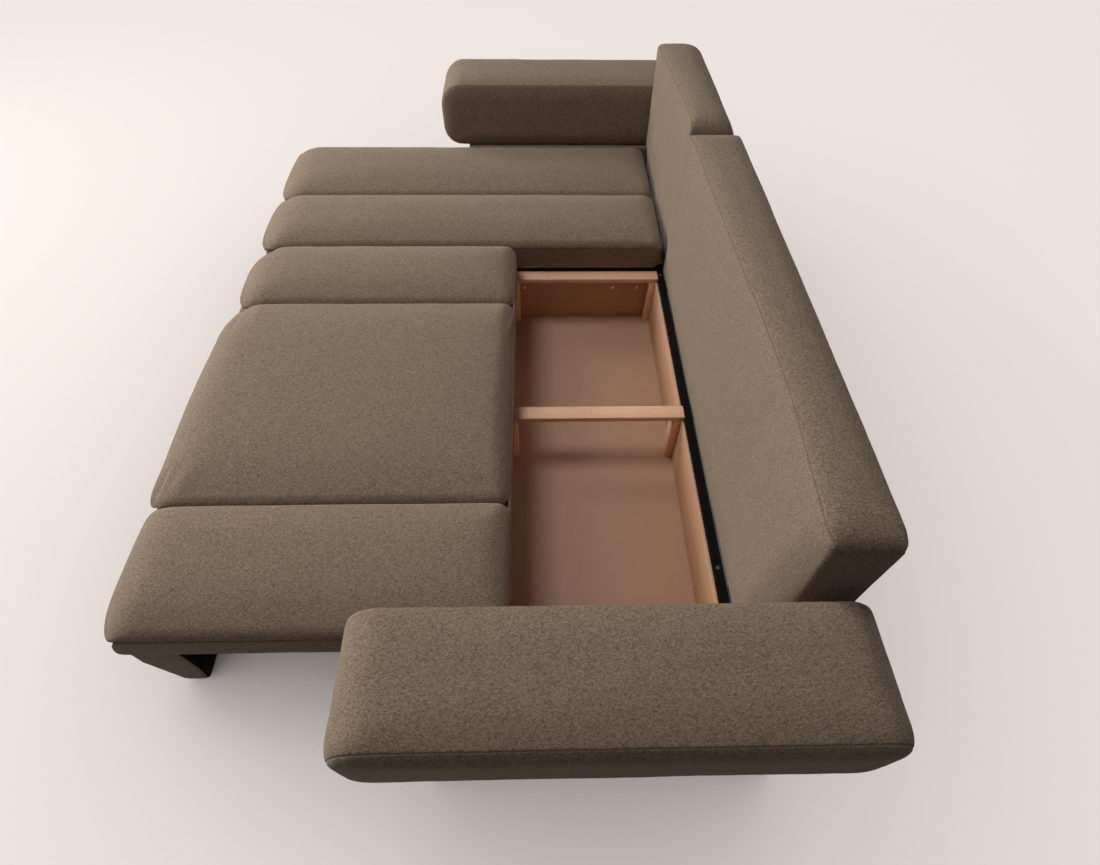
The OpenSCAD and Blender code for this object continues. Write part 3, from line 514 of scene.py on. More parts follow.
def shapeBlock(p, low, high, c):
    # lean, belly, head, eased front, crown, shoulders, bow and tuck, each where the settings name it
    s = np.clip((p - (low + high) / 2) / ((high - low) / 2), -1, 1)
    up = (p[:, 2] - low[2]) / (high[2] - low[2])
    front = np.clip((high[1] - p[:, 1]) / (high[1] - low[1]), 0, 1)
    fromEnds = (p[:, 0] - low[0], high[0] - p[:, 0])
    if "leans" in c:
        share = fromEnds[0] / (high[0] - low[0])
        belly = rise(p[:, 2], c["bellyFrom"], c["bellyRise"])
        head = rise(p[:, 2], c["headFrom"], high[2] - c["headFrom"])
        p[:, 1] += np.interp(share, *c["leans"]) * up * front
        p[:, 1] += np.interp(share, *c["bellies"]) * belly * belly * (3 - 2 * belly) * front
        p[:, 1] += np.interp(share, *c["heads"]) * head * (1 - front)
    for h, (amount, topAmount, reach) in zip(fromEnds, c.get("frontEases", ())):
        topShare = rise(p[:, 2], c["easeFrom"], c["easeRise"])
        p[:, 1] += (amount + (topAmount - amount) * topShare) * turned(h, reach) * front
    if "crown" in c:
        px, py = c["crownPower"]
        p[:, 2] += c["crown"] * np.clip(s[:, 2], 0, 1) * (1 - np.abs(s[:, 0]) ** px) * (1 - np.abs(s[:, 1]) ** py)
    for h, (amount, reach) in zip(fromEnds, c.get("shoulders", ())):
        p[:, 2] -= amount * turned(h, reach) * up ** 2   # the top drops at an end
    if "bow" in c:   # the front stands out in the middle, and draws back towards its two ends
        back = -c["bow"] * (1 - s[:, 0] ** 2)
        for h, amount in zip(fromEnds, c["drawBack"]):
            back += amount * fade(h, c["bowReach"]) ** 2
        for h, (amount, reach) in zip(fromEnds, c.get("planCorners", ())):
            back += amount * turned(h, reach)
        p[:, 1] += back * fade(p[:, 1] - low[1], c["bowDepth"])
    if "tuck" in c:   # the side panels draw in towards the foot
        p[:, 0] -= np.where(s[:, 0] > 0, c["tuck"][1], -c["tuck"][0]) * np.abs(s[:, 0]) * np.clip(0.5 - up, 0, 1) * 2


def padBlock(name, c):
    # a rounded section in Y and Z, run along X, its two ends eased; then shaped
    low, high, ends = np.array(c["low"]), np.array(c["high"]), c["ends"]
    inset = max(e for end in ends for e in end[1::2])
    lines = [spread(low[0], high[0], max(ends[0][::2]), max(ends[1][::2]), c["cell"]),
             spread(low[1], high[1], inset, inset, c["cell"]), spread(low[2], high[2], inset, inset, c["cell"])]
    p, faces, index, n = latticeBox(lines)
    for k, point in enumerate(p):
        p[k] = roundedPoint(point, low, high, c["corners"], ends)
    shapeBlock(p, low, high, c)
    piece = newPiece(name, p, faces)
    seams = [rimPath(index, n, end) for end in c.get("rims", [])]
    seams += [edgePath(index, n, rear, up) for rear, up in c.get("edges", [])]
    stillEnds = [n[0] - 1 if end else 0 for end in c.get("still", [])]
    held = {v for path in seams for v in path}
    held |= {v for ijk, v in index.items() if ijk[2] == 0 or ijk[0] in stillEnds}
    return {"piece": piece, "seams": seams, "held": sorted(held), "cap": c.get("cap")}


swelling = {"pressure": 4.0, "quality": 4, "mass": 0.3, "stretch": 15, "shear": 8, "bend": 2.0, "frames": 20}


def swell(pads):
    # inflates every pad as cloth that its seams hold, then keeps the shape
    c = swelling
    for pad in pads:
        piece = pad["piece"]
        group = piece.vertex_groups.new(name="held")
        group.add(pad["held"], 1.0, "REPLACE")
        cloth = piece.modifiers.new("swell", "CLOTH")
        s = cloth.settings
        s.quality, s.mass = c["quality"], c["mass"]
        s.tension_stiffness = s.compression_stiffness = c["stretch"]
        s.shear_stiffness, s.bending_stiffness = c["shear"], c["bend"]
        s.use_pressure, s.uniform_pressure_force = True, c["pressure"]
        s.effector_weights.gravity = 0
        s.vertex_group_mass = "held"
        cloth.collision_settings.use_collision = False
        cloth.point_cache.frame_start, cloth.point_cache.frame_end = 1, c["frames"]
    for f in range(1, c["frames"] + 1):
        scene.frame_set(f)
    view = bpy.context.evaluated_depsgraph_get()
    for pad in pads:
        piece = pad["piece"]
        rest = coordsOf(piece.data)
        shift = coordsOf(piece.evaluated_get(view).data) - rest
        size = np.linalg.norm(shift, axis=1)
        shift *= (pad["cap"] * np.tanh(size / pad["cap"]) / np.maximum(size, 1e-9))[:, None]
        full, kept = size.max() / mm, np.linalg.norm(shift, axis=1).max() / mm
        print(f"  swelled {piece.name} by up to {full:.1f} mm, kept {kept:.1f}")
        piece.modifiers.clear()
        piece.data.vertices.foreach_set("co", (rest + shift).ravel())
        piece.data.update()
    scene.frame_set(1)


seamLook = {
    "depth": 0.0012, "width": 0.0018, "lip": 0.0001, "lipAt": 0.0065, "lipWidth": 0.004, "shade": 0.0021,
    "step": 0.0012, "reach": 0.09, "pucker": 0.0003, "puckerFrom": 0.004, "puckerReach": 0.020, "puckerPitch": 0.034,
    "waver": 3.0, "waverScale": 9.0}
softLook = {"wave": 0.0012, "waveScale": 7.0, "ripple": 0.0004, "rippleScale": 26.0}


def dressPad(pad):
    # subdivides a padded piece, then works in its seams and the slight unevenness of its filling
    piece, c, w = pad["piece"], seamLook, softLook
    smooth = piece.modifiers.new("smooth", "SUBSURF")
    smooth.levels = smooth.render_levels = 1
    baked(piece)
    mesh = piece.data
    co = coordsOf(mesh)
    mesh.update()
    normals = np.array([v.normal for v in mesh.vertices])
    shade = np.zeros(len(co))
    points, runs = [], []
    for path in (co[path] for path in pad["seams"]):
        travelled = 0.0
        for a, b in zip(path[:-1], path[1:]):
            length = float(np.linalg.norm(b - a))
            steps = max(1, int(length / c["step"]))
            for k in range(steps):
                points.append(a + (b - a) * k / steps)
                runs.append(travelled + length * k / steps)
            travelled += length
    tree = kdtree.KDTree(len(points))
    for k, q in enumerate(points):
        tree.insert(q, k)
    tree.balance()
    for k in range(len(co) if points else 0):
        _, j, d = tree.find(co[k])
        if d > c["reach"]:
            continue
        groove = -c["depth"] * math.exp(-(d / c["width"]) ** 2)
        lip = c["lip"] * math.exp(-((d - c["lipAt"]) / c["lipWidth"]) ** 2)
        waver = c["waver"] * noise.noise(Vector(points[j]) * c["waverScale"])
        wave = math.sin(2 * math.pi * runs[j] / c["puckerPitch"] + waver)
        pucker = c["pucker"] * wave * math.exp(-d / c["puckerReach"]) * min(1, d / c["puckerFrom"])
        co[k] += normals[k] * (groove + lip + pucker)
        shade[k] = math.exp(-(d / c["shade"]) ** 2)
    for k in range(len(co)):
        q = Vector(co[k])
        unevenness = w["wave"] * noise.noise(q * w["waveScale"]) + w["ripple"] * noise.noise(q * w["rippleScale"])
        co[k] += normals[k] * unevenness
    mesh.vertices.foreach_set("co", co.ravel())
    mesh.update()
    # stored for the cloth material, which darkens its colour with it: painted shade in the grooves of the seams
    mark = mesh.attributes.new("seam", "FLOAT", "POINT")
    mark.data.foreach_set("value", shade.astype(np.float32))
    smoothAll(mesh)
    pad["paths"] = [co[path] for path in pad["seams"]]


# corner radii (Y, Z) of the section: (front foot, front top), (rear foot, rear top)
# ends: how far each X end is eased, along X and inwards, and then the same at its top where that differs
seatCorners = (((0.008, 0.008), (0.125, 0.056)), ((0.012, 0.012), (0.045, 0.045)))
# bow: how far the middle of the front stands out; drawBack: how far its two X ends draw back within bowReach
# planCorners: at each X end how far the front turns back further, and the reach
seatCommon = {
    "corners": seatCorners, "crown": 0.020, "crownPower": (2.6, 6), "cell": 0.016, "cap": 0.007, "still": [0, 1],
    "bowReach": 0.14, "bowDepth": 0.22}
farCorners = ((0.0, 0.05), (0.010, 0.04))
seatPads = {
    "seat_near_pad": {
        "low": (0.7625, -0.911, 0.3748), "high": (1.141, 0.1155, 0.436), "bow": 0.001, "drawBack": (0.006, 0.020),
        "ends": ((0.040, 0.026), (0.070, 0.024)), "corners": (((0.020, 0.020), (0.110, 0.056)), seatCorners[1])},
    "seat_middle_pad": {
        "low": (-0.0795, -0.911, 0.3748), "high": (0.7615, 0.1155, 0.436), "bow": 0.023, "drawBack": (0.038, -0.014),
        "ends": ((0.040, 0.026), (0.075, 0.030))},
    "seat_far_pad": {
        "low": (-0.4155, -0.911, 0.3748), "high": (-0.0805, 0.1155, 0.436), "bow": -0.001, "drawBack": (0.052, 0.012),
        "ends": ((0.040, 0.026), (0.065, 0.030)), "planCorners": farCorners},
    "chaise_inner_pad": {
        "low": (-0.7735, -0.911, 0.3748), "high": (-0.4245, 0.706, 0.436), "bow": 0.006, "drawBack": (0.018, 0.006),
        "ends": ((0.040, 0.026), (0.060, 0.030)), "planCorners": farCorners},
    "chaise_outer_pad": {
        "low": (-1.1585, -0.911, 0.3748), "high": (-0.7745, 0.706, 0.438), "bow": 0.006, "drawBack": (0.006, 0.004),
        "ends": ((0.026, 0.018), (0.065, 0.030)), "planCorners": farCorners}}
armCommon = {
    "corners": (((0.080, 0.080), (0.092, 0.095)), ((0.070, 0.060), (0.070, 0.080))), "crown": 0.009,
    "crownPower": (2.6, 6), "cell": 0.017, "cap": 0.004, "rims": [0, 1]}
armPads = {
    "near_arm_pad": {
        "low": (1.171, -0.228, 0.431), "high": (1.4665, 0.919, 0.698), "tuck": (0.0, 0.002),
        "ends": ((0.022, 0.020), (0.050, 0.036))},
    "far_arm_pad": {
        "low": (-1.4685, -0.224, 0.431), "high": (-1.171, 0.905, 0.702), "tuck": (0.005, 0.0),
        "ends": ((0.045, 0.038), (0.022, 0.020))}}
# leans, bellies, heads: shares of the length, and the shift in Y there of the front, its belly and the rear's head
# frontEases: at each X end how far the front turns back, how far at its top, and the reach
# shoulders: at each X end how far the top drops, and the reach
backCommon = {
    "crown": 0.006, "crownPower": (6, 4), "cell": 0.018, "cap": 0.005, "edges": [(0, 1), (1, 1)], "still": [0, 1],
    "bellyFrom": 0.39, "bellyRise": 0.09, "easeFrom": 0.62, "easeRise": 0.24}
backPads = {
    "main_back_pad": {
        "low": (-0.4565, 0.7248, 0.2955), "high": (1.1425, 0.912, 0.880),
        "corners": (((0.003, 0.003), (0.026, 0.024)), ((0.010, 0.010), (0.024, 0.024))),
        "ends": ((0.026, 0.016, 0.070, 0.052), (0.026, 0.014, 0.056, 0.044)),
        "frontEases": ((0.0, 0.0, 0.05), (0.056, 0.018, 0.090)), "shoulders": ((0.030, 0.070), (0.0, 0.05)),
        "headFrom": 0.80,
        "leans": ((0, 0.17, 0.45, 0.58, 0.75, 0.93, 1), (-0.002, 0.002, 0.020, 0.033, 0.041, 0.028, 0.020)),
        "bellies": ((0, 0.08, 1), (-0.010, 0.0, 0.0)),
        "heads": ((0, 0.25, 0.5, 0.8, 1), (-0.010, -0.005, 0.0, 0.004, 0.006))},
    "chaise_back_pad": {
        "low": (-1.1655, 0.7255, 0.3015), "high": (-0.4625, 0.906, 0.884), "rims": [0],
        "corners": (((0.003, 0.003), (0.024, 0.024)), ((0.010, 0.010), (0.085, 0.065))),
        "ends": ((0.040, 0.022, 0.046, 0.030), (0.026, 0.014, 0.085, 0.036)),
        "shoulders": ((0.0, 0.05), (0.024, 0.06)), "headFrom": 0.79,
        "leans": ((0, 0.44, 0.66, 0.89, 1), (-0.012, -0.004, 0.008, 0.014, 0.006)),
        "bellies": ((0, 0.5, 1), (-0.014, -0.006, 0.0)), "heads": ((0, 0.4, 1), (-0.008, 0.0, 0.0))}}

pads = {}
for common, family in ((seatCommon, seatPads), (armCommon, armPads), (backCommon, backPads)):
    for node, c in family.items():
        pads[node] = padBlock(pieceName(node), {**common, **c})
print("padded blocks laid out:", len(pads), "with", sum(len(p["piece"].data.vertices) for p in pads.values()), "points")
swell(list(pads.values()))
for node, pad in pads.items():
    dressPad(pad)
    settle(pad["piece"], node)
print("padded blocks finished")


# ---- bands: padded strips round the sides and the rear of a seat frame

def uPath(c):
    # plan points from the front of one side, round the rear, to the front of the other, with outward normals
    x0, x1, yFront, yRear, r = (c[k] for k in ("x0", "x1", "yFront", "yRear", "corner"))
    side, rear = yRear - r - yFront, x1 - x0 - 2 * r
    sideCount, rearCount = round(side / c["step"]), round(rear / c["step"])
    turns = [math.pi / 2 * k / c["turnSteps"] for k in range(c["turnSteps"] + 1)]
    points = [((x1, yFront + side * k / sideCount), (1, 0)) for k in range(sideCount)]
    points += [((x1 - r + r * math.cos(a), yRear - r + r * math.sin(a)), (math.cos(a), math.sin(a))) for a in turns]
    points += [((x1 - r - rear * k / rearCount, yRear), (0, 1)) for k in range(1, rearCount)]
    points += [((x0 + r - r * math.sin(a), yRear - r + r * math.cos(a)), (-math.sin(a), math.cos(a))) for a in turns]
    points += [((x0, yFront + side * k / sideCount), (-1, 0)) for k in range(sideCount - 1, -1, -1)]
    return points


def bandProfile(c):
    # closed outline of a band's section: distance outwards and height
    foot, head, thick, edge = c["foot"], c["head"], c["thick"], c["edge"]
    middle = thick * c["innerShare"]
    outer = [(c["bulge"] * (1 - (2 * s - 1) ** 4), foot + (head - foot) * s) for s in c["heights"]]
    inner = [(-edge, head), (-middle, head - c["headTurns"][0]), (-thick, head - c["headTurns"][1])]
    return [(-thick, foot + c["footTurn"]), (-middle, foot), (-edge, foot)] + outer + inner


def makeBand(name, c):
    path, profile = uPath(c), bandProfile(c)
    verts = []
    for (x, y), (nx, ny) in path:
        # the ends curl down and in where the front wraps over them
        near = min(1.0, (y - c["yFront"]) / c["curl"]) if nx in (1, -1) else 1.0
        fall = 1 - math.sqrt(max(0.0, 1 - (1 - near) ** 2))
        for out, z in profile:
            drop = fall * (z - c["foot"]) * c["curlDrop"]
            verts.append((x + nx * (out - c["curlIn"] * fall), y + ny * out, z - drop))
    piece = newPiece(name, verts, ringFaces(len(path), len(profile)))
    outwards(piece)
    topEdge = profile.index((-c["edge"], c["head"]))
    return {"piece": piece, "seams": [[k * len(profile) + topEdge for k in range(len(path))]]}


bandCommon = {
    "corner": 0.03, "foot": 0.305, "head": 0.403, "thick": 0.010, "edge": 0.003, "footTurn": 0.004,
    "headTurns": (0.001, 0.006), "heights": (0.04, 0.12, 0.3, 0.5, 0.7, 0.88, 0.96), "step": 0.02, "turnSteps": 6,
    "innerShare": 0.6, "curl": 0.06, "curlIn": 0.004, "curlDrop": 0.82}
bands = {
    "seatBand": ("seat_border", {
        "x0": -0.4145, "x1": 1.1415, "yFront": -0.897, "yRear": 0.1145, "bulge": 0.003, **bandCommon}),
    "chaiseBand": ("chaise_border", {
        "x0": -1.1575, "x1": -0.4255, "yFront": -0.897, "yRear": 0.7085, "bulge": 0.002, **bandCommon})}
bandPaths = {}
for name, (node, c) in bands.items():
    band = makeBand(name, c)
    dressPad(band)
    bandPaths[name] = band["paths"]
    settle(band["piece"], node)
print("bands finished")


# ---- front plinths

def roundedSection(points):
    # the outline with each corner turned by its own radius
    outline = []
    for k, (y, z, r) in enumerate(points):
        here = Vector((y, z))
        before, after = Vector(points[k - 1][:2]) - here, Vector(points[(k + 1) % len(points)][:2]) - here
        # at most about half of an edge is taken up by each turn
        trim = min(r / math.tan(before.angle(after) / 2), before.length * 0.48, after.length * 0.48)
        start, end = here + before.normalized() * trim, here + after.normalized() * trim
        steps = 7 if r > 0.01 else 3
        for t in (j / steps for j in range(steps + 1)):
            outline.append(tuple(start * (1 - t) ** 2 + here * 2 * t * (1 - t) + end * t ** 2))
    return np.array(outline)


def roundedPlinth(name, c):
    # a plinth's section run along X and closed at its ends; the rear face has the black lining
    section, x0, x1, rounding = roundedSection(c["section"]), c["x0"], c["x1"], c["round"]
    eases = [(rounding * (1 - math.cos(a)), rounding * (1 - math.sin(a))) for a in np.radians(c["turns"])]
    places = [(x0 + out, inset) for out, inset in eases]
    places += [(x0 + rounding + (x1 - x0 - 2 * rounding) * k / c["cells"], 0.0) for k in range(1, c["cells"])]
    places += [(x1 - out, inset) for out, inset in eases[::-1]]
    normals = np.roll(section, -1, axis=0) - np.roll(section, 1, axis=0)
    normals = np.stack([normals[:, 1], -normals[:, 0]], axis=1) / np.linalg.norm(normals, axis=1)[:, None]
    if np.sum(normals * (section - section.mean(axis=0))) < 0:
        normals = -normals
    verts = []
    for x, inset in places:
        ring = section - normals * min(inset, rounding * c["mostInset"])
        fromEnds = (x - x0, x1 - x)
        back = 0.0   # the front draws back at the ends, as the pads above it do
        for h, (amount, reach) in zip(fromEnds, c["planCorners"]):
            back += amount * 0.5 * (fade(h, reach) ** 2 + turned(h, reach))
        ring[:, 0] += back * rise(-ring[:, 0], *c["frontShare"]) * rise(ring[:, 1], *c["topShare"])
        # the ends draw in towards the foot
        draw = c["drawIn"] * fade(ring[:, 1], c["drawHeight"]) ** c["drawPower"]
        draw *= fade(min(fromEnds), c["drawReach"])
        side = 1 if x > (x0 + x1) / 2 else -1
        verts += [(x - side * d, *point) for d, point in zip(draw, ring)]
    piece = newPiece(name, verts, ringFaces(len(places), len(section)))
    outwards(piece)
    mesh = piece.data
    mesh.materials.append(materials["lining"])
    for face in mesh.polygons:
        if face.normal.y > 0.5 and face.center.y > c["liningFrom"]:
            face.material_index = 1
    mesh.set_sharp_from_angle(angle=math.radians(c["sharpFrom"]))
    return piece


# section: corners (Y, Z) and their radii; frontShare and topShare: where the draw back starts, and over what length
plinthCommon = {
    "section": [(-0.909, 0.371, 0.006), (-0.9125, 0.300, 0.02), (-0.9125, 0.218, 0.03), (-0.860, 0.0045, 0.030),
                (-0.790, 0.0045, 0.034), (-0.7505, 0.150, 0.03), (-0.7505, 0.312, 0.004), (-0.866, 0.312, 0.004),
                (-0.866, 0.371, 0.004)],
    "round": 0.014, "turns": (0, 18, 36, 54, 72, 90), "cells": 40, "liningFrom": -0.80, "frontShare": (0.80, 0.06),
    "topShare": (0.03, 0.2), "drawIn": 0.018, "drawHeight": 0.16, "drawPower": 1.6, "drawReach": 0.05,
    "mostInset": 0.95, "sharpFrom": 50}
plinths = {"seat_plinth": {"x0": -0.407, "x1": 1.1345, "planCorners": ((0.050, 0.13), (0.032, 0.11))},
           "chaise_plinth": {"x0": -1.150, "x1": -0.433, "planCorners": ((0.008, 0.06), (0.018, 0.08))}}
for node, c in plinths.items():
    settle(roundedPlinth(pieceName(node), {**plinthCommon, **c}), node)
print("plinths finished")


# ---- covered arm carcasses and the backs' rear covers

coverCommon = {"corners": (((0.012, 0.010), (0.012, 0.006)), ((0.012, 0.010), (0.012, 0.006))), "cell": 0.03}
covers = {
    "near_arm_base": {
        "low": (1.0895, -0.1165, 0.032), "high": (1.3985, 0.8395, 0.2995), "ends": ((0.004, 0.004), (0.013, 0.012)),
        "rims": [1]},
    "far_arm_base": {
        "low": (-1.4015, -0.1175, 0.032), "high": (-1.1335, 0.8395, 0.2995), "ends": ((0.013, 0.012), (0.004, 0.004)),
        "rims": [0]},
    "near_arm_riser": {
        "low": (1.1685, -0.1165, 0.3005), "high": (1.3985, 0.8375, 0.4305), "ends": ((0.013, 0.012), (0.013, 0.012)),
        "rims": [1]},
    "far_arm_riser": {
        "low": (-1.4005, -0.1165, 0.3005), "high": (-1.1685, 0.8385, 0.4305),
        "ends": ((0.013, 0.012), (0.013, 0.012)), "rims": [0]}}
rearPanels = {"main_back_cover": {"x": (-0.4565, 1.1435), "head": 0.845},
              "chaise_back_cover": {"x": (-1.1635, -0.4625), "head": 0.795}}


def coverBlock(name, c):
    # cloth drawn tight over boards
    block = padBlock(name, {**coverCommon, **c})
    dressPad(block)
    return block["piece"]


def rearCover(name, c):
    # a flat panel up the rear of a back, and the skirt round its foot, as one piece
    (x0, x1), keep = c["x"], 2 * mm   # the panel keeps in a little from the skirt's ends
    panel = coverBlock(name, {
        "low": (x0 + keep, 0.893, 0.062), "high": (x1 - keep, 0.9125, c["head"]),
        "corners": (((0.004, 0.005), (0.004, 0.005)), ((0.006, 0.006), (0.006, 0.006))),
        "ends": ((0.008, 0.008), (0.006, 0.006))})
    skirt = coverBlock(name + "Skirt", {
        "low": (x0, 0.8495, 0.0605), "high": (x1, 0.9105, 0.304),
        "corners": (((0.004, 0.006), (0.004, 0.004)), ((0.008, 0.006), (0.008, 0.004))),
        "ends": ((0.008, 0.006), (0.008, 0.006))})
    both = bmesh.new()
    both.from_mesh(panel.data)
    both.from_mesh(skirt.data)
    both.to_mesh(panel.data)
    both.free()
    bpy.data.objects.remove(skirt)
    return panel


for node, c in covers.items():
    settle(coverBlock(pieceName(node) + "Cover", c), node)
for node, c in rearPanels.items():
    settle(rearCover(pieceName(node), c), node)
print("covers finished")


# ---- boards, plates and other rigid parts: eased edges, and grain along each board

grain = {"endFrom": 0.8, "nextBoard": (3.7, 1.3)}   # how square a face is to the grain; a board's place in the wood
angles = {"flat": 1, "eased": 35, "sharp": 30}   # degrees: dissolved below, eased above, shaded as an edge above


def looseParts(b):
    # the faces of each separate solid
    left, parts = set(b.faces), []
    while left:
        stack, part = [left.pop()], []
        while stack:
            face = stack.pop()
            part.append(face)
            for e in face.edges:
                for g in e.link_faces:
                    if g in left:
                        left.discard(g)
                        stack.append(g)
        parts.append(part)
    return parts


def boxOf(part):
    pts = np.array([v.co for f in part for v in f.verts])
    return pts.min(0), pts.max(0)


def cadMesh(node):
    b = bmesh.new()
    b.from_mesh(frame["nodes"][node].data)
    bmesh.ops.remove_doubles(b, verts=b.verts, dist=1e-6)
    return b


def partBoxes(node):
    # the low and high corner of each separate solid of a CAD node
    b = cadMesh(node)
    boxes = [boxOf(part) for part in looseParts(b)]
    b.free()
    return boxes


def grainMap(b):
    # lays each board's length along the map's first axis, with a place of its own in the wood
    layer = b.loops.layers.uv.new("grain")
    for k, part in enumerate(looseParts(b)):
        low, high = boxOf(part)
        along = int(np.argmax(high - low))
        across = [a for a in range(3) if a != along]
        shift = [k * step for step in grain["nextBoard"]]
        for f in part:
            n = [abs(v) for v in f.normal]
            endGrain = n[along] > grain["endFrom"]
            first = across[1] if endGrain else along
            second = across[0] if endGrain or n[across[1]] >= n[across[0]] else across[1]
            for loop in f.loops:
                co = loop.vert.co
                loop[layer].uv = (co[first] + shift[0], co[second] + shift[1])


def dressRigid(node, ease, segments):
    # the CAD node's own mesh with its sharp edges eased
    b = cadMesh(node)
    bmesh.ops.dissolve_limit(b, angle_limit=math.radians(angles["flat"]), verts=b.verts, edges=b.edges)
    sharp = [e for e in b.edges if len(e.link_faces) == 2 and e.calc_face_angle(0) > math.radians(angles["eased"])]
    bmesh.ops.bevel(b, geom=sharp, offset=ease, segments=segments, affect="EDGES", profile=0.5, clamp_overlap=True)
    bmesh.ops.recalc_face_normals(b, faces=b.faces)
    grainMap(b)
    name = pieceName(node)
    mesh = bpy.data.meshes.new(name)
    b.to_mesh(mesh)
    b.free()
    mesh.materials.append(lookOf(node))
    smoothAll(mesh)
    mesh.set_sharp_from_angle(angle=math.radians(angles["sharp"]))
    settle(newObject(name, mesh), node)


# how far the edges of each node are eased, in mm
eases = {
    "box_floor": 1.0, "base_runners": 2.0, "box_rear_wall": 0.8, "box_front_wall": 1.0, "far_end_panel": 0.8,
    "near_end_panel": 0.8, "far_frame": 1.4, "divider_frame": 1.4, "near_frame": 1.4, "back_beam": 1.5,
    "bay_front_board": 1.2, "chaise_side_boards": 1.2, "chaise_cross_boards": 1.2, "chaise_frame": 2.0,
    "back_rails": 2.0, "back_uprights": 2.0, "seat_side_rails": 2.0, "seat_cross_rails": 2.0, "seat_mid_boards": 1.2,
    "link_plates": 0.5, "seat_brackets": 0.5, "back_brackets": 0.5, "rear_links": 0.8, "front_links": 0.8,
    "box_glides": 1.5, "chaise_glides": 1.5, "arm_and_back_glides": 1.5, "plinth_glides": 1.5, "seat_buffers": 1.5,
    "link_buffers": 1.5}
boltEases = {
    "link_plate_bolts": 0.4, "bracket_bolts": 0.4, "arm_bolts": 0.4, "back_bolts": 0.4, "lower_pivot_pins": 0.4,
    "upper_pivot_pins": 0.4}
for family, segments in ((eases, 2), (boltEases, 1)):
    for node, ease in family.items():
        dressRigid(node, ease * mm, segments)
print("rigid parts dressed")


# ---- geometry node trees: screws, springs and stitches

def newTree(name, inputs):
    return newGroup(name, {"Geometry": "Geometry", **inputs}, {"Geometry": "Geometry"}, "GeometryNodeTree")


def endTree(tree, o, instances, material):
    real = addNode(tree, "GeometryNodeRealizeInstances", {"Geometry": instances})
    feed(tree, o, {"Geometry": addNode(tree, "GeometryNodeSetMaterial", {"Geometry": real, "Material": material})})
    return tree


def runTree(name, mesh, tree, values):
    # sets the modifier's inputs by identifier, keeps the result as a plain mesh
    ids = {s.name: s.identifier for s in tree.interface.items_tree if s.in_out == "INPUT"}
    piece = newObject(name, mesh)
    modifier = piece.modifiers.new("build", "NODES")
    modifier.node_group = tree
    for label, value in values.items():
        modifier[ids[label]] = value
    baked(piece)
    smoothAll(piece.data)
    return piece


def screwTree():
    # one pan-head screw on each point, turned to the point's stored direction
    tree, i, o = newTree("panHeadScrews", {"Head": "Object", "Material": "Material", "Size": 1.0, "Seed": 3})
    head = addNode(tree, "GeometryNodeObjectInfo", {"Object": i["Head"]}).outputs["Geometry"]
    facing = addNode(tree, "GeometryNodeInputNamedAttribute", {"Name": "facing"}, data_type="FLOAT_VECTOR")
    aim = addNode(tree, "FunctionNodeAlignRotationToVector", {"Vector": facing.outputs["Attribute"]}, axis="Z")
    turn = addNode(tree, "FunctionNodeRandomValue", {"Max": 3.14, "Seed": i["Seed"]}, data_type="FLOAT")
    spin = addNode(tree, "FunctionNodeAxisAngleToRotation", {"Axis": (0, 0, 1), "Angle": turn.outputs["Value"]})
    both = addNode(tree, "FunctionNodeRotateRotation", {"Rotation": aim, "Rotate By": spin}, rotation_space="LOCAL")
    points = addNode(tree, "GeometryNodeMeshToPoints", {"Mesh": i["Geometry"]})
    put = addNode(tree, "GeometryNodeInstanceOnPoints", {"Points": points, "Instance": head, "Rotation": both,
                                                         "Scale": i["Size"]})
    return endTree(tree, o, put, i["Material"])


def screwHead(c):
    # a shank, and a domed head with a cross recess whose arms reach out to every third point
    radius, height, sides = c["radius"], c["height"], c["sides"]
    body = [(c["shankRadius"], -c["shank"]), (c["shankRadius"], 0.0), (radius, 0.0), (radius * 0.95, height * 0.5),
            (radius * 0.5, height)]
    rings = [(r, r, z) for r, z in body]
    rings += [(radius * c["arm"] * share, radius * c["gap"] * share, height * level) for share, level in c["recess"]]
    verts = []
    for arm, gap, z in rings:
        for k in range(sides):
            r, a = (gap if k % 3 else arm), 2 * math.pi * k / sides
            verts.append((r * math.cos(a), r * math.sin(a), z))
    head = newObject("screwHead", plainMesh("screwHead", verts, faces=ringFaces(len(rings), sides)))
    outwards(head)
    return head


# arm and gap: how far the recess reaches out along its arms and between them, as shares of the head's radius
# recess: its two rings, each with its share of that and of the head's height
screws = {
    "radius": 0.0072, "height": 0.0030, "shank": 0.0140, "shankRadius": 0.0022, "sides": 12, "arm": 0.43, "gap": 0.30,
    "recess": ((1, 1.02), (0.8, 0.35)), "sunk": 0.0025, "sharpFrom": 35}
screwShape, screwTemplate = screwTree(), screwHead(screws)


def placeScrews(node, look, facing):
    # a finished screw at the head of each CAD screw; facing gives the way it points from its place
    places, ways = [], []
    for low, high in partBoxes(node):
        place = (low + high) / 2
        way = Vector(facing(place))
        axis = int(np.argmax(np.abs(way)))
        place[axis] = (high if way[axis] > 0 else low)[axis] - way[axis] * screws["sunk"]
        places.append(place)
        ways.append(way)
    name = pieceName(node)
    mesh = plainMesh(name, places)
    mark = mesh.attributes.new("facing", "FLOAT_VECTOR", "POINT")
    mark.data.foreach_set("vector", np.array(ways, dtype=np.float32).ravel())
    values = {"Head": screwTemplate, "Material": materials[look], "Size": 1.0, "Seed": 3}
    piece = runTree(name, mesh, screwShape, values)
    piece.data.set_sharp_from_angle(angle=math.radians(screws["sharpFrom"]))
    settle(piece, node)


placeScrews("end_panel_screws", "zinc", lambda p: (1, 0, 0) if p[0] < 0.3 else (-1, 0, 0))
placeScrews("beam_screws", "blackSteel", lambda p: (0, 0, 1))
bpy.data.objects.remove(screwTemplate)


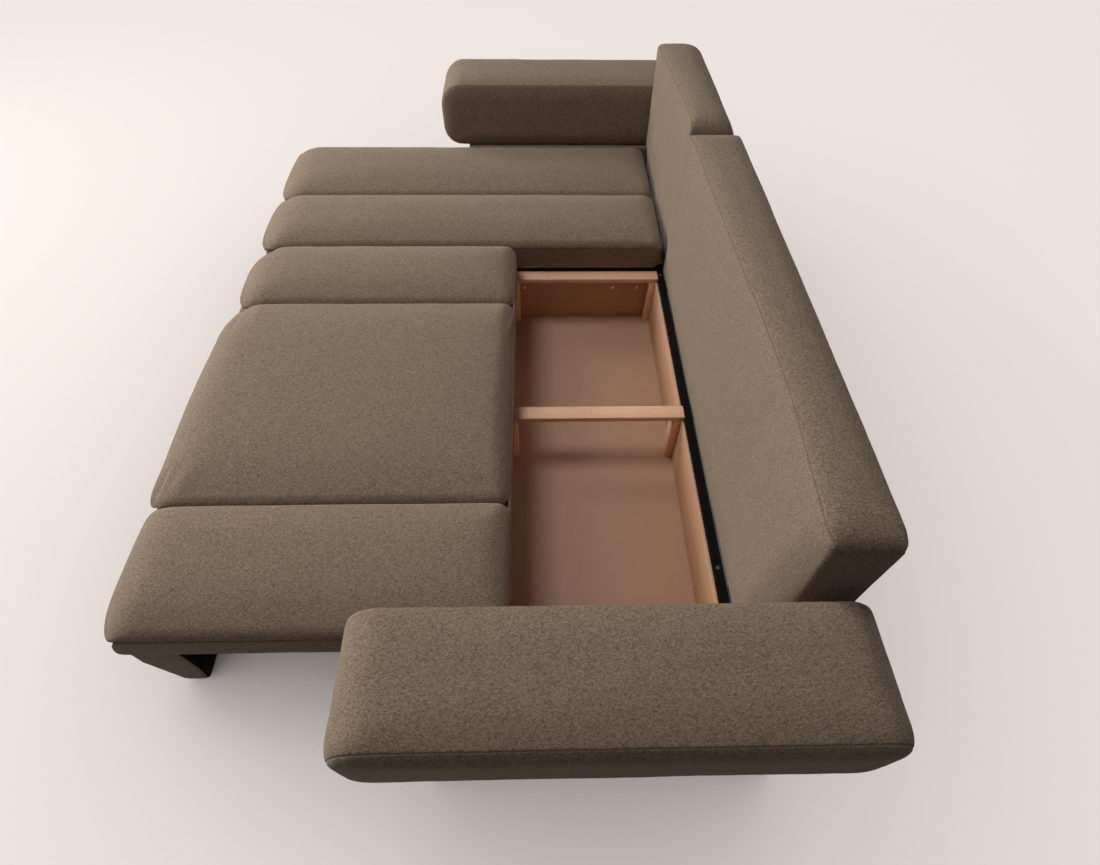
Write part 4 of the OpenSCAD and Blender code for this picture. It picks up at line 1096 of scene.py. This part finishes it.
def springTree():
    # sinuous springs: a straight wire waved sideways, one for each point
    tree, i, o = newTree("sinuousSprings", {"Length": 1.0, "Pitch": 0.09, "Swing": 0.024, "Wire": 0.0018,
                                            "Samples": 300, "Material": "Material"})
    end = addNode(tree, "ShaderNodeCombineXYZ", {"Y": i["Length"]})
    line = addNode(tree, "GeometryNodeCurvePrimitiveLine", {"Start": (0, 0, 0), "End": end})
    fine = addNode(tree, "GeometryNodeResampleCurve", {"Curve": line, "Count": i["Samples"]})
    y = addNode(tree, "ShaderNodeSeparateXYZ", {0: addNode(tree, "GeometryNodeInputPosition")}).outputs["Y"]
    phase = times(tree, calc(tree, "DIVIDE", y, i["Pitch"]), 2 * math.pi)
    wave = calc(tree, "SINE", phase)
    fuller = times(tree, calc(tree, "POWER", calc(tree, "ABSOLUTE", wave), 0.6), calc(tree, "SIGN", wave))
    back = times(tree, times(tree, i["Pitch"], 0.07), calc(tree, "SINE", times(tree, phase, 2.0)))
    shift = addNode(tree, "ShaderNodeCombineXYZ", {"X": times(tree, fuller, i["Swing"]), "Y": back})
    moved = addNode(tree, "GeometryNodeSetPosition", {"Geometry": fine, "Offset": shift})
    ring = addNode(tree, "GeometryNodeCurvePrimitiveCircle", {"Resolution": 8, "Radius": i["Wire"]})
    wire = addNode(tree, "GeometryNodeCurveToMesh", {"Curve": moved, "Profile Curve": ring, "Fill Caps": True})
    put = addNode(tree, "GeometryNodeInstanceOnPoints", {"Points": i["Geometry"], "Instance": wire})
    return endTree(tree, o, put, i["Material"])


springs = {"pitch": 0.09, "swing": 0.024, "wire": 0.0018, "samples": 24, "shorter": 0.002}
springShape = springTree()


def placeSprings(node):
    # a waved wire along each CAD spring, in whole waves
    c, starts, name = springs, [], pieceName(node)
    for low, high in partBoxes(node):
        starts.append(((low[0] + high[0]) / 2, low[1] + c["shorter"], (low[2] + high[2]) / 2))
        length = float(high[1] - low[1] - 2 * c["shorter"])
    waves = math.floor(length / c["pitch"])
    piece = runTree(name, plainMesh(name, sorted(starts)), springShape,
                    {"Length": length, "Pitch": length / waves, "Swing": c["swing"], "Wire": c["wire"],
                     "Samples": waves * c["samples"] + 1, "Material": materials["steel"]})
    outwards(piece)
    settle(piece, node)


for node in ("seat_springs", "chaise_springs"):
    placeSprings(node)
print("screws and springs placed")


def stitchTree():
    # small sunk stitches at an even pitch along each seam
    tree, i, o = newTree("seamStitches", {"Pitch": 0.006, "Stitch Length": 0.0036, "Thread": 0.0005, "Jitter": 0.12,
                                          "Seed": 7, "Material": "Material"})
    curve = addNode(tree, "GeometryNodeMeshToCurve", {"Mesh": i["Geometry"]})
    even = addNode(tree, "GeometryNodeResampleCurve", {"Curve": curve, "Length": i["Pitch"]}, mode="LENGTH")
    along = addNode(tree, "GeometryNodeInputTangent")
    aim = addNode(tree, "FunctionNodeAlignRotationToVector", {"Vector": along}, axis="X")
    bead = addNode(tree, "GeometryNodeMeshUVSphere", {"Segments": 6, "Rings": 4, "Radius": 1.0})
    vary = addNode(tree, "FunctionNodeRandomValue", {"Min": calc(tree, "SUBTRACT", 1.0, i["Jitter"]),
                                                     "Max": calc(tree, "ADD", 1.0, i["Jitter"]),
                                                     "Seed": i["Seed"]}, data_type="FLOAT")
    half = times(tree, i["Stitch Length"], 0.5)
    size = addNode(tree, "ShaderNodeCombineXYZ", {"X": times(tree, half, vary.outputs["Value"]),
                                                  "Y": i["Thread"], "Z": i["Thread"]})
    put = addNode(tree, "GeometryNodeInstanceOnPoints", {"Points": even, "Instance": bead, "Rotation": aim,
                                                         "Scale": size})
    return endTree(tree, o, put, i["Material"])


stitches = {
    "Pitch": 0.0065, "Stitch Length": 0.0038, "Thread": 0.00055, "Jitter": 0.12, "Seed": 7,
    "Material": materials["thread"]}
stitchShape = stitchTree()


def sewSeams(name, paths, body):
    verts, edges = [], []
    for path in paths:
        start = len(verts)
        verts += list(path)
        edges += [(start + k, start + k + 1) for k in range(len(path) - 1)]
    piece = runTree(name, plainMesh(name, verts, edges), stitchShape, stitches)
    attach(piece, body)


for node in ("near_arm_pad", "far_arm_pad", "main_back_pad", "chaise_back_pad"):
    sewSeams(pieceName(node).replace("Pad", "Stitches"), pads[node]["paths"], "base")
sewSeams("seatBandStitches", bandPaths["seatBand"], "seat")
sewSeams("chaiseBandStitches", bandPaths["chaiseBand"], "base")
print("seams sewn")

# what is left of the CAD nodes takes its finish from the record's slot
for node, obj in frame["nodes"].items():
    if not obj.hide_render:
        obj.data.materials.clear()
        obj.data.materials.append(lookOf(node))
        print("CAD node shown:", node)
